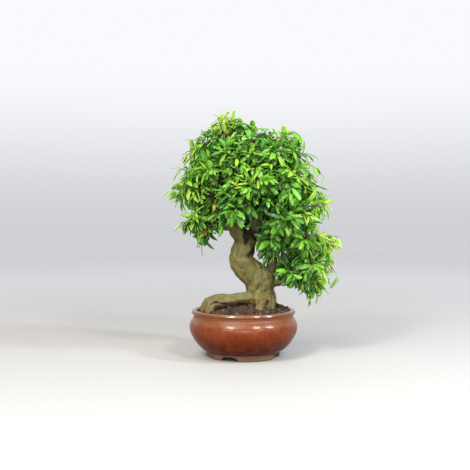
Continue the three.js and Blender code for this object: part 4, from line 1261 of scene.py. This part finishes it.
class Shoot:
    """Grows one leafy shoot: the stem, its side twigs and all their leaves."""

    mood = 0.0

    def __init__(self, name, foliage, wood):
        self.rng = np.random.default_rng(SHOOT_SEED + int(name.split("_")[1]))
        self.foliage = foliage
        self.wood = wood
        self.leaves, self.twigs = Leaves(), Twigs()
        blades, self.start, self.end = solid_blades(name)
        self.stem()
        for base, along, up, size in blades:
            tone = self.tone(base + along * size * 0.7, BLADE_YOUNG)
            self.leaves.add(base, along, up, size * BLADE_LENGTH, size * BLADE_WIDTH, BLADE_CURL, tone)
        for k in range(foliage.twigs):
            self.side_twig(k, (k + 0.6) / foliage.twigs)
        self.cluster(self.end, self.heading, 5, 0.14)

    def tone(self, place, young=0.0):
        """A leaf's tone at a place: its age, newer on the crown's outside, where growth is new, and on twig
        ends, with painted shade darkening the crown's middle and some spots, and painted light on the crown's
        left flank.
        """
        out = np.linalg.norm((place - CROWN_CENTRE) / CROWN_REACH)
        # Spots of painted shade make the leaves darker.
        own = self.mood + self.rng.normal(0, LEAF_MOOD) - strength_at(place, PAINTED_SHADE_SPOTS)
        # Spots of new growth make leaves lighter; on the left flank they are painted light.
        tone = INNER_TONE + OUTER_TONE * min(out, 1.25) ** 2 + young + strength_at(place, NEW_GROWTH_AND_LIGHT) + own
        return min(tone, NEWEST_TONE)

    def stem(self):
        """The bowed stem from a little inside the limb to the shoot's last whorl of blades."""
        way = self.end - self.start
        reach = np.linalg.norm(way)
        self.heading = unit(way)
        back = self.start - self.heading * STEM_SUNK
        bow = np.array([0, 0, 0.05 * reach]) + self.rng.normal(0, 0.02 * reach, 3)
        self.line = bowed(back, self.end, bow, 9)
        self.twigs.add(self.line, np.linspace(*STEM_RADII, 9))

    def on_stem(self, t):
        place = t * (len(self.line) - 1)
        k = min(int(place), len(self.line) - 2)
        return self.line[k] + (self.line[k + 1] - self.line[k]) * (place - k)

    def side_twig(self, k, t):
        """A short side twig that leaves the stem at t."""
        rng = self.rng
        start = self.on_stem(t)
        round_stem = unit(np.cross(self.heading, [0.1, 0.2, 1.0]))
        other = np.cross(self.heading, round_stem)
        angle = GOLDEN_TURN * k + rng.normal(0, 0.3)
        spoke = round_stem * math.cos(angle) + other * math.sin(angle)
        outward = unit(start - CROWN_CENTRE)
        lean = rng.uniform(*SIDE_LEAN)
        way = unit(self.heading * math.cos(lean) + spoke * math.sin(lean) + 0.35 * outward + [0, 0, 0.12])
        self.twig(start, start + way * rng.uniform(*SIDE_TWIG))

    def twig_to(self, place):
        """A twig from near the stem's nearest point to a place on the crown's outside."""
        near = np.argmin(distances(self.line, place))
        self.twig(self.line[max(near - 1, 0)], place)

    def twig(self, start, end):
        """A bowed twig with pairs of leaves along its outer part and a few leaves at its end."""
        rng = self.rng
        self.mood = rng.normal(0, TWIG_MOOD)
        if not in_crown(end):
            return
        reach = np.linalg.norm(end - start)
        way = (end - start) / reach
        hit = self.wood.ray_cast(Vector(start + way * 0.003), Vector(way), reach)
        if hit[0] is not None and hit[3] > 0.004:
            return
        bow = 0.10 * reach * unit(rng.normal(size=3) + [0, 0, 1.2])
        line = bowed(start, end, bow, 6)
        self.twigs.add(line, np.linspace(TWIG_THIN + 0.010 * reach, TWIG_TIP, 6))
        way = unit(line[-1] - line[-2])
        turn = rng.uniform(0, math.pi)
        back = PAIR_FIRST
        while back < min(reach - 0.003, PAIRS_REACH):
            place = line[-1] + (line[-1] - line[-3]) / np.linalg.norm(line[-1] - line[-3]) * -back
            k = int(np.argmin(distances(line, place)))
            place = line[k] + (place - line[k]) * 0.5
            for hand in (0, math.pi):
                if rng.random() < PAIR_KEPT:
                    self.leaf(place, way, turn + hand, rng.uniform(*PAIR_LEAN), rng.uniform(*PAIR_SIZE), 0.0)
            turn += math.pi / 2 + rng.normal(0, 0.25)
            back += rng.uniform(*PAIR_GAP)
        self.cluster(line[-1], way, 4, 0.07)

    def spray(self, places):
        """A long young shoot through the places, with single leaves by turns and one at its end."""
        rng = self.rng
        self.mood = SPRAY_MOOD
        near = int(np.argmin(distances(self.line, places[0])))
        line = smooth_profile(np.vstack([self.line[max(near - 1, 0)], places]), 5)
        self.twigs.add(line, np.linspace(*SPRAY_RADII, len(line)))
        lengths = np.linalg.norm(np.diff(line, axis=0), axis=1)
        run, hand = 0.0, rng.uniform(0, 6.28)
        for k in range(len(line) - 2, 2, -1):
            run += lengths[k]
            if run > SPRAY_GAP:
                way = unit(line[k + 1] - line[k])
                lean, size = rng.uniform(*SPRAY_LEAN), rng.uniform(*SPRAY_SIZE)
                self.leaf(line[k], way, hand, lean, size, 0.05, free=True)
                hand += SPRAY_TURN + rng.normal(0, 0.3)
                run = 0.0
        self.leaf(line[-1], unit(line[-1] - line[-2]), hand, 0.1, 0.9, 0.15, free=True)

    def cluster(self, place, way, many, young):
        """A bunch of leaves round the end of a twig, the last one straight on."""
        rng = self.rng
        turn = rng.uniform(0, 6.28)
        for k in range(many - 1):
            lean = rng.uniform(*BUNCH_LEAN)
            size = rng.uniform(*BUNCH_SIZE)
            self.leaf(place - way * 0.0025 * (k % 2), way, turn + k * GOLDEN_TURN, lean, size, young)
        self.leaf(place, way, turn, 0.15, rng.uniform(0.5, 0.8), young + 0.08)

    def leaf(self, base, way, angle, lean, size, young, free=False):
        """One leaf, turned or left off where it would pass the crown's line or go into the wood."""
        rng = self.rng
        if rng.random() < strength_at(base, OPENINGS):
            return
        first = unit(np.cross(way, [0.2, 0.1, 1.0]))
        outward = unit(base - CROWN_CENTRE)
        droop = 0.22 - 0.32 * outward[2] + rng.normal(0, 0.24)
        up = unit(np.array([0, 0, 0.95]) + 0.65 * outward + rng.normal(0, 0.5, 3))
        long = self.foliage.blade * size * (1 + rng.normal(0, 0.10))
        width = long * self.foliage.slim * rng.uniform(0.75, 1.25)
        curl = rng.uniform(*LEAF_CURL)
        for _ in range(LEAF_TRIES):
            spoke = first * math.cos(angle) + np.cross(way, first) * math.sin(angle)
            along = way * math.cos(lean) + spoke * math.sin(lean)
            along = unit(along + 0.15 * outward - np.array([0, 0, droop]))
            angle += GOLDEN_TURN
            lift = unit(up - along * (up @ along))
            tip = base + (along * math.sin(curl) - lift * (1 - math.cos(curl))) * long / curl
            slack = SPRAY_SLACK * unit(tip - CROWN_CENTRE) if free else 0
            if not in_crown(tip - slack):
                continue
            if self.wood.ray_cast(Vector(base), Vector(along), long * 0.9)[0] is None:
                tone = self.tone(base + along * long * 0.6, young)
                width *= 1 - NEW_SLIMMER * min(max((tone - 0.5) / 0.5, 0.0), 1.0)
                rusty = size < RUSTY_SIZE and rng.random() < RUSTY_SHARE
                self.leaves.add(base, along, up, long, width, curl, RUSTY_TONE if rusty else tone)
                return


class BONSAI_OT_make_foliage(bpy.types.Operator):
    """Grows every leafy shoot from its solid"""

    bl_idname = "bonsai.make_foliage"
    bl_label = "Leafy shoots"

    def execute(self, context):
        foliage, wood = context.scene.bonsai_foliage, context.scene.bonsai_wood
        materials = [leaf_material(foliage), underside_material(), twig_material(wood)]
        tree = wood_tree()
        shoots = [Shoot(name, foliage, tree) for name in SHOOTS]
        for place in [*crown_places(foliage.spacing), *(np.array(at(*tuft)) for tuft in TUFTS)]:
            min(shoots, key=lambda shoot: distances(shoot.line[2:], place).min()).twig_to(place)
        for spray in SPRAYS:
            places = np.array([at(*place) for place in spray])
            min(shoots, key=lambda shoot: distances(shoot.line, places[0]).min()).spray(places)
        for name, shoot in zip(SHOOTS, shoots):
            self.build(name, shoot, materials)
        return {"FINISHED"}

    @staticmethod
    def build(name, shoot, materials):
        """Makes a shoot's leaves and twigs into one piece."""
        built, twigs = shoot.leaves.build(shoot.rng), shoot.twigs
        first = len(built["corners"])
        corners = np.vstack([built["corners"], *twigs.corners])
        faces = built["faces"] + [tuple(first + k for k in face) for face in twigs.faces]
        mesh = mesh_piece("leafy_" + name, corners, faces, materials, [name]).data
        wear = np.concatenate([built["under"], np.full(len(twigs.faces), 2)])
        mesh.polygons.foreach_set("material_index", wear.astype(np.int32))
        for key in ("leaf_across", "leaf_along", "leaf_tone"):
            give_numbers(mesh, key, np.concatenate([built[key], np.zeros(len(corners) - first)]))


# ------------------------------------------------------------------ stage

FLOOR_RADIUS = 4
FLOOR_SIDES = 96
# How far the floor is below the pot's foot, in metres, so that the two don't flicker.
FLOOR_DROP = 0.0004
# Where the lamps point: across, back and up from the pot's foot, in millimetres.
LAMP_AIM = (10, 0, 190)
WARM = (1, 0.97, 0.91)
COOL = (0.70, 0.84, 1)
# Lamps: name, the way from what they light to them, how far away, width and height, power and colour.
LAMPS = [
    ("softbox_left", (-0.40, -0.67, 0.62), 1.6, (0.27, 0.21), 0.72, WARM),
    ("softbox_low_left", (-0.50, -0.80, 0.25), 1.6, (0.50, 0.08), 0.16, WARM),
    ("softbox_low_right", (0.60, -0.74, 0.25), 1.6, (0.40, 0.08), 0.12, WARM),
    ("softbox_right", (0.41, -0.66, 0.62), 1.6, (0.25, 0.21), 0.56, WARM),
    ("fill_low", (0.03, -0.98, 0.10), 1.7, (0.90, 0.36), 0.35, WARM),
    ("window_right", (0.74, -0.38, 0.55), 1.8, (0.16, 0.30), 1.06, COOL),
]
SKYLIGHT_WAY = (-0.32, -0.50, 0.80)
SKYLIGHT_SPREAD = 45
SENSOR_WIDTH = 36


class BONSAI_OT_make_stage(bpy.types.Operator):
    """Sets the floor, the soft lights and the camera"""

    bl_idname = "bonsai.make_stage"
    bl_label = "Floor, lights and camera"

    def execute(self, context):
        stage = context.scene.bonsai_stage
        self.floor(stage)
        context.scene.world = self.air(stage)
        for lamp in LAMPS:
            self.softbox(stage, *lamp)
        self.skylight(stage)
        context.scene.camera = self.camera(stage)
        context.scene.view_settings.view_transform = "Standard"
        return {"FINISHED"}

    @staticmethod
    def put(name, data):
        """A new object in the scene."""
        thing = bpy.data.objects.new(name, data)
        bpy.context.scene.collection.objects.link(thing)
        return thing

    def floor(self, stage):
        """A round pale floor, a little bluer far away."""
        nodes = Nodes("pale_floor")
        away = nodes.add("ShaderNodeVectorMath", {"operation": "LENGTH"}, Vector=nodes.place())
        far = nodes.span(away.outputs["Value"], 0.35, 2.0)
        tint = nodes.mix(far, stage.floor, stage.floor_far)
        bearings = np.linspace(0, ROUND, FLOOR_SIDES + 1)[:-1]
        mesh = bpy.data.meshes.new("floor")
        corners = [(*on_circle(FLOOR_RADIUS, bearing), -FLOOR_DROP) for bearing in bearings]
        mesh.from_pydata(corners, [], [tuple(range(FLOOR_SIDES))])
        mesh.materials.append(nodes.finish(Base_Color=tint, Roughness=0.75))
        self.put("floor", mesh)

    @staticmethod
    def air(stage):
        """Light from all sides, weaker from the front and from below."""
        nodes = Nodes("studio_air", "World")
        place = nodes.add("ShaderNodeTexCoord").outputs["Generated"]
        way = nodes.add("ShaderNodeSeparateXYZ", Vector=place).outputs
        back = nodes.span(way["Y"], -0.1, 0.75, 0.45, 0.95)
        above = nodes.span(way["Z"], -0.02, 0.20, 0.70, 1.05)
        light = nodes.add("ShaderNodeBackground", Color=stage.sky, Strength=nodes.times(back, above))
        return nodes.shown(light.outputs[0])

    def softbox(self, stage, name, way, away, size, power, tint):
        """A soft lamp that points at the tree."""
        light = bpy.data.lights.new(name, "AREA")
        light.shape = "RECTANGLE"
        light.size, light.size_y = size
        light.energy = stage.softbox * power
        light.color = tint
        aim = at(*LAMP_AIM)
        lamp = self.put(name, light)
        lamp.location = aim + Vector(way).normalized() * away
        lamp.rotation_euler = (aim - lamp.location).to_track_quat("-Z", "Y").to_euler()

    def skylight(self, stage):
        """A wide soft light from above and in front."""
        light = bpy.data.lights.new("skylight", "SUN")
        light.energy = stage.skylight
        light.angle = math.radians(SKYLIGHT_SPREAD)
        light.color = WARM
        self.put("skylight", light).rotation_euler = Vector(SKYLIGHT_WAY).to_track_quat("Z", "Y").to_euler()

    def camera(self, stage):
        """The camera, in front of the pot, a little to its left and tilted down."""
        camera = self.put("camera", bpy.data.cameras.new("camera"))
        camera.data.lens = stage.lens
        camera.data.sensor_width = SENSOR_WIDTH
        camera.data.clip_end = 20
        camera.location = at(-CAMERA_LEFT, -CAMERA_AWAY, CAMERA_HEIGHT)
        camera.rotation_euler = (math.radians(90 - CAMERA_TILT), 0, 0)
        return camera


# ------------------------------------------------------------------ panel and run


class BONSAI_PT_panel(bpy.types.Panel):
    """Lists the bonsai's pieces and their settings"""

    bl_label = "Pomegranate Bonsai"
    bl_idname = "BONSAI_PT_panel"
    bl_space_type = "VIEW_3D"
    bl_region_type = "UI"
    bl_category = "Bonsai"

    def draw(self, context):
        for key, operator in STEPS:
            box = self.layout.box()
            box.operator(operator)
            settings = getattr(context.scene, key)
            for name in settings.bl_rna.properties.keys():
                if name not in ("rna_type", "name"):
                    box.prop(settings, name)


STEPS = [
    ("bonsai_stage", "bonsai.make_stage"),
    ("bonsai_pot", "bonsai.make_pot"),
    ("bonsai_pot", "bonsai.dress_screen"),
    ("bonsai_soil", "bonsai.make_soil"),
    ("bonsai_wood", "bonsai.make_wood"),
    ("bonsai_foliage", "bonsai.make_foliage"),
]
SETTINGS = {
    "bonsai_stage": StageSettings, "bonsai_pot": PotSettings, "bonsai_soil": SoilSettings,
    "bonsai_wood": WoodSettings, "bonsai_foliage": FoliageSettings,
}
CLASSES = (
    *SETTINGS.values(), BONSAI_OT_make_stage, BONSAI_OT_make_pot, BONSAI_OT_dress_screen, BONSAI_OT_make_soil,
    BONSAI_OT_make_wood, BONSAI_OT_make_foliage, BONSAI_PT_panel,
)


def register():
    for cls in CLASSES:
        bpy.utils.register_class(cls)
    for key, group in SETTINGS.items():
        setattr(bpy.types.Scene, key, bpy.props.PointerProperty(type=group))


def unregister():
    for key in SETTINGS:
        delattr(bpy.types.Scene, key)
    for cls in reversed(CLASSES):
        bpy.utils.unregister_class(cls)


def main():
    register()
    for _, operator in STEPS:
        group, name = operator.split(".")
        getattr(getattr(bpy.ops, group), name)()


if __name__ == "__main__":
    main()
